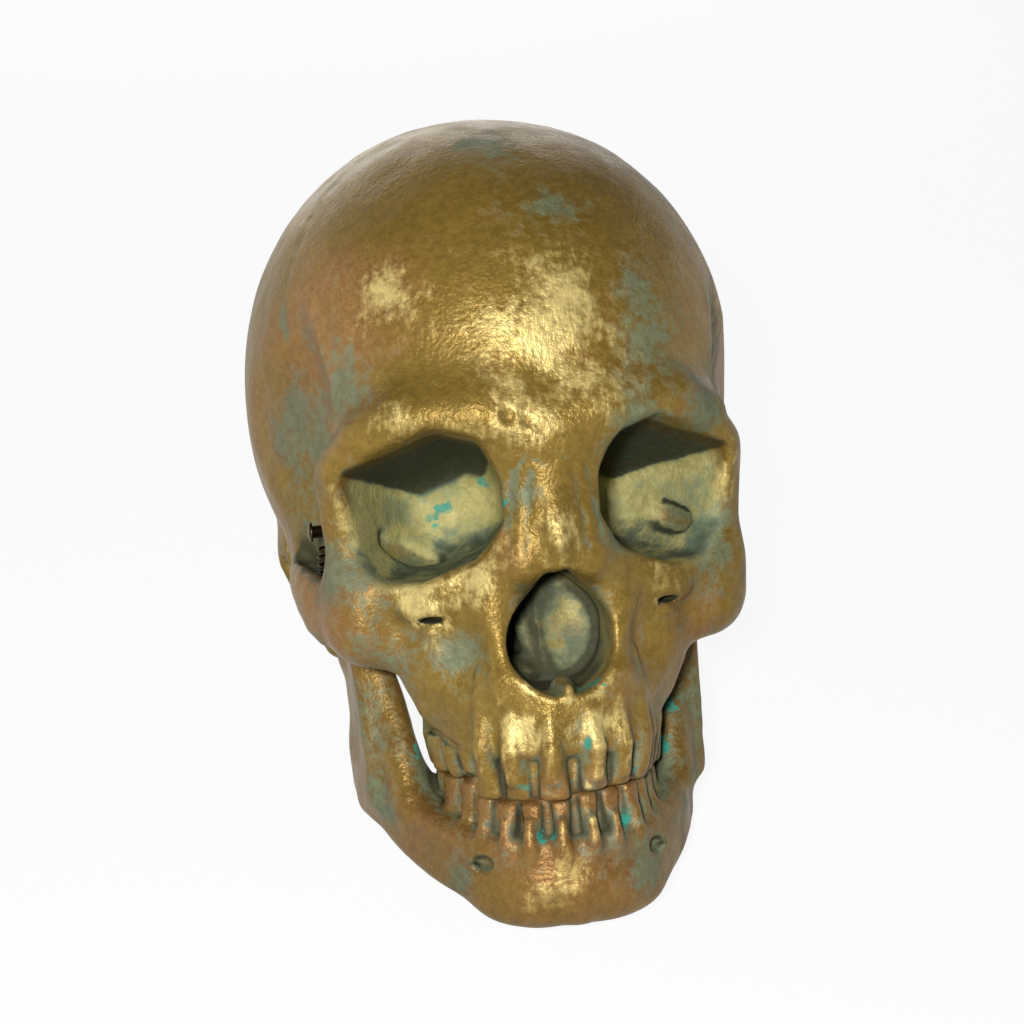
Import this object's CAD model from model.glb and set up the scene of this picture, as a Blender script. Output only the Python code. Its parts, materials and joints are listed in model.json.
"""Looks of the skull decoration: fine bone surfaces, aged bronze paint and steel hardware.

The bone is one smooth field, negative inside the material, built from named landmarks in the
skull frame: millimetres, x to the skull's left, -y forward, z up, origin midway between the ears.
A field becomes a closed mesh on a grid of uneven lines, and the mesh is set into the part's frame.
"""

from __future__ import annotations

import json
import logging
import math
from collections.abc import Callable, Mapping, Sequence
from dataclasses import dataclass, field
from enum import Enum
from functools import reduce

import bpy
import numpy as np
from mathutils import Matrix
from numpy.typing import NDArray

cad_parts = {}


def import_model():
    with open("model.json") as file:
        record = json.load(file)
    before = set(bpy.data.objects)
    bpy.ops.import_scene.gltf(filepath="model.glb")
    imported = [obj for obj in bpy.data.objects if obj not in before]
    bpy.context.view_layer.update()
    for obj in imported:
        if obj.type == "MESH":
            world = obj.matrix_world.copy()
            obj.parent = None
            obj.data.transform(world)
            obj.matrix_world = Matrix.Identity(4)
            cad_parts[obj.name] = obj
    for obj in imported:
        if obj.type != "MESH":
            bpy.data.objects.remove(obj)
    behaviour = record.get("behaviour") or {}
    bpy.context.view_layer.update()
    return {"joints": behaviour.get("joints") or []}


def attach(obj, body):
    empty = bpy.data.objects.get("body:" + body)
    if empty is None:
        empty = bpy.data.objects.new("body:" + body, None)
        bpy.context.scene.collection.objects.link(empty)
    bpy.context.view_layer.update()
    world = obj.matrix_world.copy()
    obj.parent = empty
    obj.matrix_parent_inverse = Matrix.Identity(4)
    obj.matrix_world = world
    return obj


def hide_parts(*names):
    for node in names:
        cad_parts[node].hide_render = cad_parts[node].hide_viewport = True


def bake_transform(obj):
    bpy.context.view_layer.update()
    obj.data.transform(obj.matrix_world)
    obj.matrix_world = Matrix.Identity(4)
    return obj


LOG = logging.getLogger("skull")
MM = 0.001
TINY = 1e-3

SHARP_DEGREES = 72.0
FAR_MM = 9.0

# Distances over which two forms commonly run into each other, in millimetres
SOFT = 3.0
ROUND = 6.0
BROAD = 11.0

Array = NDArray[np.floating]
Index = NDArray[np.integer]
Point = tuple[float, float, float]
Mark = tuple[Point, float]
Coords = tuple[Array, Array, Array]
Field = Callable[[Coords], Array]
Stops = Sequence[tuple[float, float]]
Socket = bpy.types.NodeSocket
Thing = bpy.types.Object
Finish = bpy.types.Material
Tree = bpy.types.NodeTree
Fed = Mapping[str | int, object]
Sockets = Sequence[tuple[str, str]]


class Side(Enum):
    """A side of the skull, with the sign of its x."""

    LEFT = 1
    RIGHT = -1

    @property
    def word(self) -> str:
        """Name of the side as the nodes spell it."""
        return self.name.lower()


class Body(Enum):
    """Moving body that a piece rides on."""

    CRANIUM = "cranium"
    JAW = "jaw"


class Slot(Enum):
    """Material slot of the record."""

    CRANIUM_PAINT = "cranium_paint"
    JAW_PAINT = "jaw_paint"
    ZINC = "zinc_hardware"
    SPRING = "spring_wire"


class Half(Enum):
    """Shell of the cranium."""

    FACE = "face"
    REAR = "rear"


def mirrored(p: Coords) -> Coords:
    """Coordinates with the right side folded onto the left."""
    return np.abs(p[0]), p[1], p[2]


def columns(points: Array) -> Coords:
    """The three coordinate columns of an array of points."""
    return points[:, 0], points[:, 1], points[:, 2]


def blend(a: Array, b: Array, reach: Array | float) -> Array:
    """Lower of two fields, less h squared over four reaches, h the reach less their difference."""
    h = np.maximum(reach - np.abs(a - b), 0.0)
    return np.minimum(a, b) - h * h / (4.0 * reach)


def carve(a: Array, b: Array, reach: Array | float) -> Array:
    """Field a with field b taken out of it, the rim rounded over the distance reach."""
    return -blend(-a, b, reach)


def both(a: Array, b: Array, reach: float) -> Array:
    """What lies inside both fields, the edge rounded over the distance reach."""
    return -blend(-a, -b, reach)


def ellipsoid(p: Coords, centre: Point, radii: Point, power: float = 2.0) -> Array:
    """Distance to an ellipsoid; a power above 2 makes it fuller between its axes.

    With size the power mean of the scaled coordinates, the distance is size times size less one,
    over the length of the scaled slope.

    Args:
        p: Coordinates.
        centre: Middle of the ellipsoid.
        radii: Its half axes.
        power: Exponent of the power mean.

    Returns:
        The field.
    """
    x = np.maximum(np.abs(p[0] - centre[0]), TINY) / radii[0]
    y = np.abs(p[1] - centre[1]) / radii[1]
    z = np.abs(p[2] - centre[2]) / radii[2]
    if power == 2.0:
        size = np.sqrt(x * x + y * y + z * z)
    else:
        size = (x**power + y**power + z**power) ** (1.0 / power)
    slope = np.sqrt((x / radii[0]) ** 2 + (y / radii[1]) ** 2 + (z / radii[2]) ** 2)
    return size * (size - 1.0) / slope


def least(fields: Sequence[Array]) -> Array:
    """Lowest of several fields at each point."""
    return reduce(np.minimum, fields)


def limb(p: Coords, marks: Sequence[Mark], squeeze: Point = (1.0, 1.0, 1.0)) -> Array:
    """Distance to a run of tapered rods through landmarks of a point and a radius.

    Along each rod the nearest point's share t gives the radius, and the distance to that point
    less the radius is the field; a squeeze above 1 thins the rods along that axis.

    Args:
        p: Coordinates.
        marks: Landmarks in order.
        squeeze: Stretch of the space along each axis.

    Returns:
        The field.
    """
    rods: list[Array] = []
    x, y, z = (c * s for c, s in zip(p, squeeze))
    for (a, ra), (b, rb) in zip(marks[:-1], marks[1:]):
        start = [c * s for c, s in zip(a, squeeze)]
        run = [c * s - o for c, s, o in zip(b, squeeze, start)]
        u, v, w = x - start[0], y - start[1], z - start[2]
        length = sum(c * c for c in run)
        t = np.clip((u * run[0] + v * run[1] + w * run[2]) / length, 0.0, 1.0)
        away = np.sqrt((u - t * run[0]) ** 2 + (v - t * run[1]) ** 2 + (w - t * run[2]) ** 2)
        rods.append((away - ra - t * (rb - ra)) / max(squeeze))
    return least(rods)


def row_distance(x: Array, y: Array, half_width: float, depth: float, back_y: float) -> Array:
    """Signed distance across a U-shaped row: half an ellipse ahead of back_y, straight legs behind.

    Args:
        x: Coordinates across.
        y: Coordinates along.
        half_width: Half width of the U.
        depth: Depth of the half ellipse.
        back_y: Where the legs start.

    Returns:
        Distance outwards from the row's middle line.
    """
    side = np.maximum(np.abs(x), TINY)
    ahead = np.minimum(y - back_y, 0.0)
    size = np.sqrt((side / half_width) ** 2 + (ahead / depth) ** 2)
    slope = np.sqrt((side / half_width**2) ** 2 + (ahead / depth**2) ** 2)
    return size * (size - 1.0) / slope


def band(offset: Array, rise: Array, thick: float, tall: Array | float, edge: float) -> Array:
    """Rounded band of a half thickness and half height, from its offset and height above mid.

    Args:
        offset: Distance across the band from its middle.
        rise: Height above its middle.
        thick: Half its thickness.
        tall: Half its height.
        edge: Radius of its edges.

    Returns:
        The field.
    """
    across = np.maximum(np.abs(offset) - thick + edge, 0.0)
    upright = np.maximum(np.abs(rise) - tall + edge, 0.0)
    return np.sqrt(across * across + upright * upright) - edge


def outline_distance(u: Array, v: Array, outline: Sequence[tuple[float, float]]) -> Array:
    """Signed distance in a plane to a closed outline, negative inside.

    The least distance to the sides, with its sign turned at each side that a level ray crosses.

    Args:
        u: First coordinates.
        v: Second coordinates.
        outline: Corners in order.

    Returns:
        The field.
    """
    sides: list[Array] = []
    sign = np.ones(np.broadcast(u, v).shape)
    for n, a in enumerate(outline):
        b = outline[n - 1]
        eu, ev = b[0] - a[0], b[1] - a[1]
        wu, wv = u - a[0], v - a[1]
        t = np.clip((wu * eu + wv * ev) / (eu * eu + ev * ev), 0.0, 1.0)
        sides.append((wu - eu * t) ** 2 + (wv - ev * t) ** 2)
        above, below, left = v >= a[1], v < b[1], eu * wv > ev * wu
        sign = np.where((above & below & left) | (~above & ~below & ~left), -sign, sign)
    return sign * np.sqrt(least(sides))


@dataclass(frozen=True)
class Grain:
    """Smooth seeded noise from -1 to 1: random values on a lattice, eased between its points."""

    seed: int
    size: float
    count: int = 48

    def at(self, points: Array) -> Array:
        """Noise at points.

        Args:
            points: Points in millimetres.

        Returns:
            One value a point.
        """
        table = np.random.default_rng(self.seed).uniform(-1.0, 1.0, (self.count,) * 3)
        place = points / self.size
        low = np.floor(place).astype(int)
        share = place - low
        share = share * share * (3.0 - 2.0 * share)
        total = np.zeros(len(points))
        for corner in np.ndindex(2, 2, 2):
            spot = (low + corner) % self.count
            weight = np.prod(np.where(corner, share, 1.0 - share), axis=1)
            total += weight * table[spot[:, 0], spot[:, 1], spot[:, 2]]
        return total


@dataclass(frozen=True)
class Stance:
    """The skull's lean on the table, and where its jaw hinge is in the part's frame."""

    joint: Point
    lean_degrees: float = 26.40566959120406
    hinge_y: float = -12.0
    hinge_z: float = -6.0

    @property
    def turn(self) -> tuple[float, float]:
        """Cosine and sine of the lean."""
        lean = math.radians(self.lean_degrees)
        return math.cos(lean), math.sin(lean)

    def to_part(self, points: Array) -> Array:
        """Points of the skull frame, in millimetres, in the part's frame, in metres."""
        y, z = self.directions(points - (0.0, self.hinge_y, self.hinge_z))[:, 1:].T
        return np.stack([points[:, 0], y, z], axis=1) * MM + self.joint

    def directions(self, vectors: Array) -> Array:
        """Directions of the skull frame in the part's frame.

        Args:
            vectors: Rows of x, y and z.

        Returns:
            The turned rows.
        """
        c, s = self.turn
        x, y, z = columns(vectors)
        return np.stack([x, y * c + z * s, z * c - y * s], axis=1)

    def height(self, p: Coords) -> Array:
        """Height above the table, in millimetres."""
        c, s = self.turn
        return (p[2] - self.hinge_z) * c - (p[1] - self.hinge_y) * s + self.joint[2] / MM

    def opened_back(self, p: Coords, degrees: float) -> Coords:
        """Coordinates as the jaw has them when it is open by an angle about its hinge.

        Args:
            p: Coordinates.
            degrees: Angle of opening.

        Returns:
            The turned coordinates.
        """
        c, s = math.cos(math.radians(degrees)), math.sin(math.radians(degrees))
        y, z = p[1] - self.hinge_y, p[2] - self.hinge_z
        return p[0], self.hinge_y + y * c + z * s, self.hinge_z - y * s + z * c


@dataclass
class Surface:
    """A mesh of four-sided faces, with named values at its points for the paint."""

    points: Array
    faces: Index
    values: dict[str, Array] = field(default_factory=dict)

    def evened(self, share: float) -> Array:
        """Points moved a share of the way towards the middle of their neighbours.

        Args:
            share: How far they move.

        Returns:
            The moved points.
        """
        count = len(self.points)
        ends = np.concatenate([self.faces[:, [n, (n + 1) % 4]] for n in range(4)])
        ends = np.concatenate([ends, ends[:, ::-1]])
        total = [np.bincount(ends[:, 0], self.points[ends[:, 1], n], count) for n in range(3)]
        near = np.maximum(np.bincount(ends[:, 0], minlength=count), 1)
        return self.points + (np.stack(total, axis=1) / near[:, None] - self.points) * share

    def make(self, name: str, points: Array, material: Finish) -> Thing:
        """Mesh object at the origin, with its place in its mesh.

        Args:
            name: Piece name.
            points: Places of the points in the part's frame, in metres.
            material: Finish of the piece.

        Returns:
            The object.
        """
        corners = self.faces.shape[1]
        mesh = bpy.data.meshes.new(name)
        mesh.vertices.add(len(points))
        mesh.vertices.foreach_set("co", np.ascontiguousarray(points, np.float32).ravel())
        mesh.loops.add(self.faces.size)
        mesh.loops.foreach_set("vertex_index", self.faces.astype(np.int32).ravel())
        mesh.polygons.add(len(self.faces))
        starts = np.arange(0, self.faces.size, corners, dtype=np.int32)
        mesh.polygons.foreach_set("loop_start", starts)
        mesh.polygons.foreach_set("use_smooth", np.ones(len(self.faces), bool))
        mesh.update(calc_edges=True)
        mesh.set_sharp_from_angle(angle=math.radians(SHARP_DEGREES))
        for key, value in self.values.items():
            layer = mesh.attributes.new(key, "FLOAT", "POINT")
            layer.data.foreach_set("value", value.astype(np.float32))
        mesh.materials.append(material)
        thing = bpy.data.objects.new(name, mesh)
        bpy.context.scene.collection.objects.link(thing)
        return thing


@dataclass(frozen=True)
class Mesher:
    """Grid of uneven lines on which a field becomes a closed mesh."""

    x_stops: Stops
    y_stops: Stops
    z_stops: Stops

    @staticmethod
    def lines(stops: Stops) -> Array:
        """Grid lines along one axis through stops of a position and the step after it.

        Args:
            stops: Positions and steps in order.

        Returns:
            Places of the lines.
        """
        coarse = 1.0
        runs = []
        for (start, step), (end, _) in zip(stops[:-1], stops[1:]):
            count = max(round((end - start) / step / coarse), 1)
            runs.append(np.linspace(start, end, count, endpoint=False))
        return np.concatenate([*runs, [stops[-1][0]]])

    def skin(self, form: Field) -> Surface:
        """Zero surface of a field: one point in each cell it crosses, faces across crossed edges.

        A cell's point is the mean of the crossings on its edges, and every crossed edge of the
        grid gives one face through its four cells. The points are then evened out and moved
        along the field's slope onto the zero surface, twice.

        Args:
            form: The field.

        Returns:
            The closed surface, faces outwards.
        """
        axes = [self.lines(s) for s in (self.x_stops, self.y_stops, self.z_stops)]
        grid = np.meshgrid(*(a.astype(np.float32) for a in axes), indexing="ij", sparse=True)
        values = form(tuple(grid)).astype(np.float32)
        cells = np.array(values.shape) - 1
        total = int(np.prod(cells))
        sums, counts, faces = np.zeros((3, total)), np.zeros(total), []
        inside = values < 0.0
        for axis in range(3):
            first, second = (axis + 1) % 3, (axis + 2) % 3
            low = inside.take(range(values.shape[axis] - 1), axis)
            high = inside.take(range(1, values.shape[axis]), axis)
            spots = np.argwhere(low != high)
            ahead = spots + np.eye(3, dtype=int)[axis]
            start, end = values[tuple(spots.T)], values[tuple(ahead.T)]
            places = spots.astype(float)
            places[:, axis] += start / (start - end)
            corners, usable = [], np.ones(len(spots), bool)
            for da, db in ((0, 0), (-1, 0), (-1, -1), (0, -1)):
                cell = spots.copy()
                cell[:, first] += da
                cell[:, second] += db
                good = np.all((cell >= 0) & (cell < cells), axis=1)
                usable &= good
                code = np.ravel_multi_index(np.clip(cell, 0, cells - 1).T, cells)
                corners.append(code)
                counts += np.bincount(code[good], minlength=total)
                for n in range(3):
                    sums[n] += np.bincount(code[good], places[good, n], total)
            quads = np.stack(corners, axis=1)[usable]
            outward = low[tuple(spots[usable].T)]
            quads[~outward] = quads[~outward][:, ::-1]
            faces.append(quads)
        used = np.flatnonzero(counts)
        number = np.full(total, -1)
        number[used] = np.arange(len(used))
        spread = sums[:, used] / counts[used]
        places = [np.interp(s, np.arange(len(a)), a) for s, a in zip(spread, axes)]
        surface = Surface(np.stack(places, axis=1), number[np.concatenate(faces)])
        for share in (0.5, 0.3):
            surface.points = surface.evened(share)
            for _ in range(2):
                surface.points = on_surface(surface.points, form)
        return surface


def slope_at(points: Array, form: Field, reach: float = 0.05) -> tuple[Array, Array]:
    """Values of a field at points, and its slope there from small forward steps.

    Args:
        points: Places to read.
        form: The field.
        reach: Length of the steps.

    Returns:
        The values, and a row of slopes a point.
    """
    value = form(columns(points))
    steps = np.eye(3) * reach
    slope = np.stack([form(columns(points + s)) - value for s in steps], axis=1) / reach
    return value, slope


def on_surface(points: Array, form: Field, longest: float = 0.6) -> Array:
    """Points moved one step down the field's slope, at most a given distance.

    Args:
        points: Points near the surface.
        form: The field.
        longest: Longest move.

    Returns:
        The moved points.
    """
    value, slope = slope_at(points, form)
    step = -value[:, None] * slope / np.maximum((slope**2).sum(axis=1), 0.2)[:, None]
    length = np.maximum(np.linalg.norm(step, axis=1, keepdims=True), TINY)
    return points + step * np.minimum(1.0, longest / length)


def hollowness(points: Array, normals: Array, form: Field, reaches: Sequence[float]) -> Array:
    """How shut in points are, 0 to 1: mean share of the reaches outwards that isn't clear."""
    shares = [np.clip(form(columns(points + normals * r)) / r, 0.0, 1.0) for r in reaches]
    return 1.0 - np.mean(shares, axis=0)


def ridginess(points: Array, normals: Array, form: Field, reaches: Sequence[float]) -> Array:
    """How far each point stands out on an edge or ridge: the same reading into the material."""
    shares = [np.clip(-form(columns(points - normals * r)) / r, 0.0, 1.0) for r in reaches]
    return 1.0 - np.mean(shares, axis=0)


# Grids of the three castings, finest across the teeth and the face
JAW_GRID = Mesher(
    x_stops=((-60.0, 1.2), (-36.0, 0.85), (36.0, 1.2), (60.0, 1.0)),
    y_stops=((-103.0, 0.85), (-60.0, 1.3), (-22.0, 1.0), (3.0, 1.0)),
    z_stops=((-98.0, 1.15), (-71.0, 0.75), (-52.4, 1.2), (4.0, 1.0)),
)
FACE_GRID = Mesher(
    x_stops=((-71.0, 1.8), (-36.0, 0.92), (36.0, 1.8), (71.0, 1.0)),
    y_stops=((-108.0, 0.95), (-62.0, 1.8), (-44.0, 2.6), (-22.0, 1.6), (-2.6, 0.6), (1.6, 1.0)),
    z_stops=((-56.0, 0.75), (-27.0, 1.2), (46.0, 2.4), (125.0, 1.0)),
)
REAR_GRID = Mesher(
    x_stops=((-71.0, 1.7), (71.0, 1.0)),
    y_stops=((0.4, 0.6), (4.0, 1.6), (98.0, 1.0)),
    z_stops=((-37.0, 1.4), (20.0, 1.8), (125.0, 1.0)),
)


@dataclass(frozen=True)
class Tooth:
    """One tooth: width along its row, thickness, and how it stands out of the even row."""

    width: float
    thick: float
    short: float = 0.0
    twist: float = 0.0
    out: float = 0.0
    root: float = 0.0


@dataclass(frozen=True)
class ToothRow:
    """A row of teeth on a U-shaped gum, each a rounded wedge that widens or narrows to its root."""

    left: tuple[Tooth, ...]
    right: tuple[Tooth, ...]
    half_width: float
    depth: float
    edge_z: float
    gum_z: float
    root_z: float
    edge_width: float
    neck_width: float
    root_out: float
    back_y: float = -55.0
    gum_end: float = 8.0
    gap: float = 0.5
    grinder: int = 3
    web_thick: float = 3.2
    web_in: float = 0.5
    web_short: float = 0.1
    lip: float = 0.0
    lip_y: float = -72.0
    left_lift: float = 1.7
    left_from: float = 5.0
    left_over: float = 9.0
    right_lift: float = 4.4
    right_from: float = 16.0
    right_over: float = 5.0
    cutting_edge: float = 0.36
    grinding_edge: float = 0.8
    crown_round: float = 1.4

    def level(self, x: Array | float) -> Array | float:
        """Height of the biting edge across the row, which is higher on both sides of the middle.

        Args:
            x: Coordinates across.

        Returns:
            The height.
        """
        left = self.left_lift * np.clip((x + self.left_from) / self.left_over, 0.0, 1.0)
        right = self.right_lift * np.clip((-x - self.right_from) / self.right_over, 0.0, 1.0)
        return self.edge_z + left + right

    def places(self, teeth: Sequence[Tooth]) -> Array:
        """Centre and heading of each tooth of one side along the row's curve.

        Args:
            teeth: Teeth from the middle outwards.

        Returns:
            Rows of x, y and the unit heading along the curve.
        """
        angle = np.linspace(0.0, math.pi / 2.0, 2000)
        x = np.append(self.half_width * np.sin(angle), self.half_width)
        y = np.append(self.back_y - self.depth * np.cos(angle), self.back_y + 40.0)
        walked = np.append(0.0, np.cumsum(np.hypot(np.diff(x), np.diff(y))))
        widths = np.array([t.width for t in teeth])
        middle = np.cumsum(widths) - widths / 2.0
        at = np.stack([np.interp(middle, walked, c) for c in (x, y)], axis=1)
        ahead = np.stack([np.interp(middle + 0.5, walked, c) for c in (x, y)], axis=1) - at
        return np.concatenate([at, ahead / np.linalg.norm(ahead, axis=1, keepdims=True)], axis=1)

    def local(self, p: Coords, side: Side, place: Array, tooth: Tooth) -> tuple[Array, Array]:
        """Coordinates along the row and out of it, from a tooth's own middle.

        Args:
            p: Coordinates.
            side: Side of the skull.
            place: Centre and heading of the tooth.
            tooth: The tooth.

        Returns:
            Both coordinates.
        """
        turn = math.radians(tooth.twist)
        hx = place[2] * math.cos(turn) - place[3] * math.sin(turn)
        hy = place[3] * math.cos(turn) + place[2] * math.sin(turn)
        dx, dy = p[0] * side.value - place[0], p[1] - place[1]
        return dx * hx + dy * hy, dx * hy - dy * hx - tooth.out

    def crowns(self, p: Coords) -> Array:
        """Field of all crowns.

        Across a crown at a share t of its height the section is a rounded oblong, a power mean
        of 3; its width runs from the edge's to the neck's, its thickness from an edge to the full.

        Args:
            p: Coordinates.

        Returns:
            The field.
        """
        up = math.copysign(1.0, self.gum_z - self.edge_z)
        rise = abs(self.gum_z - self.edge_z)
        crowns: list[Array] = []
        for side, teeth in ((Side.LEFT, self.left), (Side.RIGHT, self.right)):
            for n, (tooth, place) in enumerate(zip(teeth, self.places(teeth))):
                u, v = self.local(p, side, place, tooth)
                height = (p[2] - self.level(place[0] * side.value)) * up - tooth.short
                t = np.clip(height / rise, 0.0, 1.5)
                swell = self.edge_width + (self.neck_width - self.edge_width) * np.clip(t, 0.0, 1.2)
                wide = (tooth.width - self.gap) / 2.0 * swell
                edge = self.cutting_edge if n < self.grinder else self.grinding_edge
                deep = tooth.thick / 2.0 * np.minimum(edge + (1.05 - edge) * np.sqrt(t + 0.02), 1.0)
                lean = tooth.thick / 2.0 - deep if n < self.grinder else 0.0 * deep
                size = (np.abs(u / wide) ** 3 + np.abs((v - lean * 0.6) / deep) ** 3) ** (1.0 / 3.0)
                crown = (size - 1.0) * np.minimum(wide, deep)
                ends = np.maximum(-height, height - rise * 1.5)
                crowns.append(both(crown, ends, self.crown_round))
        return least(crowns)

    def web(self, p: Coords) -> Array:
        """Field of the thin wall that joins the crowns behind their faces, short of their edges.

        Args:
            p: Coordinates.

        Returns:
            The field.
        """
        row = row_distance(p[0], p[1], self.half_width, self.depth, self.back_y) + self.web_in
        up = math.copysign(1.0, self.gum_z - self.edge_z)
        low = self.web_short - self.lip * np.clip((self.lip_y - p[1]) / 8.0, 0.0, 1.0)
        high = abs(self.gum_z - self.edge_z) + 3.0
        rise = (p[2] - self.level(p[0])) * up - (low + high) / 2.0
        wall = band(row, rise, self.web_thick / 2.0, (high - low) / 2.0, 1.0)
        return carve(wall, self.back_y + 6.0 - p[1], 1.0)

    def gum(self, p: Coords, height: float, thick: float) -> Array:
        """Field of the gum: a band along the row, from the crowns' necks up or down.

        Args:
            p: Coordinates.
            height: Its height, below zero where it goes down.
            thick: Its thickness.

        Returns:
            The field.
        """
        row = row_distance(p[0], p[1], self.half_width, self.depth, self.back_y)
        half = height / 2.0
        gum = band(row, p[2] - self.gum_z - half, thick / 2.0, abs(half), SOFT)
        return carve(gum, self.back_y + self.gum_end - p[1], SOFT)

    def roots(self, p: Coords, radius: float, tip: float) -> Array:
        """Field of the root ridges: tapered rods down the gum's outer face under each crown.

        Args:
            p: Coordinates.
            radius: Radius of a root at its widest.
            tip: Radius at its tip.

        Returns:
            The field.
        """
        roots: list[Array] = []
        for side, teeth in ((Side.LEFT, self.left), (Side.RIGHT, self.right)):
            for tooth, place in zip(teeth, self.places(teeth)):
                u, v = self.local(p, side, place, tooth)
                start = (0.0, self.root_out - 1.0, self.gum_z + 0.45 * (self.edge_z - self.gum_z))
                middle = (0.0, self.root_out, self.gum_z + 0.15 * (self.root_z - self.gum_z))
                end = (0.0, self.root_out - 1.6, self.root_z + tooth.root)
                marks = ((start, radius * 0.8), (middle, radius), (end, tip))
                roots.append(limb((u, v, p[2]), marks))
        return least(roots)


UPPER_ROW = ToothRow(
    left=(
        Tooth(8, 7, 0.1, 3, 2, -6),
        Tooth(7, 6.4, 0, -5, 1.5, -1),
        Tooth(7.4, 8, 0.1, 3, 1.6, 6),
        Tooth(7, 9, 0, -4, 0.2),
        Tooth(6.8, 9, 0.2, 4, 0.2),
        Tooth(9.8, 11, -0.3, 0, 0.3),
        Tooth(9.4, 11, -0.4, 3, -0.2),
    ),
    right=(
        Tooth(8.2, 7, 0, -3, 2.1, -7),
        Tooth(7.6, 6, 0.2, 6, 1.3, -3),
        Tooth(7.6, 8, 0.1, -4, 2, 4),
        Tooth(6.8, 9, 3, 6, -0.4),
        Tooth(6.8, 9, 0.3, -5, 0.6),
        Tooth(9.8, 11, 0, 2, 0.4),
        Tooth(9.4, 11, 0.2, 0, 0),
    ),
    half_width=25.0,
    depth=40.0,
    edge_z=-54.2,
    gum_z=-44.0,
    root_z=-27.0,
    edge_width=1.0,
    neck_width=0.9,
    root_out=3.2,
    web_thick=6.0,
    web_in=0.6,
)
LOWER_ROW = ToothRow(
    left=(
        Tooth(5.6, 6, 0, 3, 2),
        Tooth(5.9, 6.2, 0.1, -5, 1.8),
        Tooth(6.5, 7.6, 0, 4, 1.6),
        Tooth(6.8, 7.8, 0.2, -3, 0.8),
        Tooth(7, 8.2, 0.3, 0, 0.6),
        Tooth(10.4, 10, 0, 2, 0.2),
        Tooth(10.2, 10, -0.2, 0, 0),
    ),
    right=(
        Tooth(5.5, 6, 0.1, -4, 1.8),
        Tooth(5.8, 6.2, 0, 5, 2.1),
        Tooth(6.4, 7.6, 0, -4, 1.8),
        Tooth(6.8, 7.8, 0.2, 3, 1),
        Tooth(7, 8.2, 0.1, -2, 0.6),
        Tooth(10.4, 10, 0.2, 0, 0.2),
        Tooth(10.2, 10, 0.3, 2, 0),
    ),
    half_width=24.0,
    depth=37.0,
    edge_z=-54.6,
    gum_z=-63.5,
    root_z=-72.0,
    edge_width=1.05,
    neck_width=0.82,
    root_out=4.0,
    web_thick=5.0,
    web_in=-0.1,
    web_short=0.5,
    lip=1.7,
)


@dataclass(frozen=True)
class EyeSocket:
    """Eye sockets: cones from an apex to a mouth with a straight brow edge and rounded corners."""

    mouth: Point = (31.5, -84.0, 17.0)
    apex: Point = (17.0, -46.0, 14.0)
    outline: tuple[tuple[float, float], ...] = (
        (15.0, 8.0), (-6.0, 15.3), (-13.5, 13.0), (-16.7, 6.5), (-17.0, -1.5), (-11.0, -8.5),
        (1.5, -13.0), (9.0, -12.2), (13.3, -6.0),
    )
    corner: float = 4.0
    back_width: float = 0.22
    reach: float = 1.6
    wall: float = 7.5
    cup_y: float = -69.0
    dimple: tuple[Mark, ...] = (
        ((-36, -60, 9.4), 4), ((-30, -55, 7), 5.4), ((-26, -52, 5), 4.2),
    )
    pit_depth: float = 2.2
    slit_depth: float = 1.4
    fissure: tuple[Mark, ...] = (
        ((24, -46.5, 13.8), 1.6), ((29, -53.4, 12.4), 2.4), ((36.5, -58, 10.6), 3.6),
        ((40, -64, 9), 3.2),
    )
    tear_groove: tuple[Mark, ...] = (
        ((13.5, -80.5, 16), 1.2), ((14.5, -79, 6), 2.8), ((16, -76, 0), 2.6),
    )

    def hole(self, q: Coords) -> Array:
        """Field of the hollow.

        At a share of the depth the hollow spreads as its cube root; across it the section is
        the outline, grown by the corner radius.

        Args:
            q: Coordinates folded to the left.

        Returns:
            The field.
        """
        apex, axis = np.array(self.apex), np.array(self.mouth) - np.array(self.apex)
        depth = float(np.linalg.norm(axis))
        axis = axis / depth
        level = np.cross((0.0, 0.0, 1.0), axis)
        level = level / np.linalg.norm(level)
        upright = np.cross(axis, level)
        d = [c - a for c, a in zip(q, apex)]
        along = d[0] * axis[0] + d[1] * axis[1] + d[2] * axis[2]
        share = np.cbrt(np.clip(along / depth, 0.0, self.reach))
        spread = self.back_width + (1.0 - self.back_width) * share
        u = (d[0] * level[0] + d[1] * level[1] + d[2] * level[2]) / spread
        v = (d[0] * upright[0] + d[1] * upright[1] + d[2] * upright[2]) / spread
        wall = (outline_distance(u, v, self.outline) - self.corner) * spread
        return carve(wall, along, ROUND)

    def pits(self, bone: Array, p: Coords) -> Array:
        """Bone with a shallow dimple, a slit and the tear grooves worked into the sockets' walls.

        Args:
            bone: Field of the bone.
            p: Coordinates.

        Returns:
            The field.
        """
        q = mirrored(p)
        shallow = self.hole(q) - self.pit_depth
        bone = carve(bone, np.maximum(limb(p, self.dimple), shallow), 1.8)
        bone = carve(bone, np.maximum(limb(p, self.fissure), shallow - self.slit_depth), 1.6)
        return carve(bone, limb(q, self.tear_groove), 1.6)

    def inside(self, q: Coords, rim: float = 0.98) -> Array:
        """How surely a point lies on the socket's wall, behind a share of its depth, from 0 to 1.

        Args:
            q: Coordinates folded to the left.
            rim: Share of the depth at the front edge.

        Returns:
            One value a point.
        """
        apex, axis = np.array(self.apex), np.array(self.mouth) - np.array(self.apex)
        along = sum((c - a) * d for c, a, d in zip(q, apex, axis)) / float(axis @ axis)
        near = np.clip((3.0 - np.abs(self.hole(q))) / 1.5, 0.0, 1.0)
        return near * np.clip((rim - along) / 0.12, 0.0, 1.0)


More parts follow.
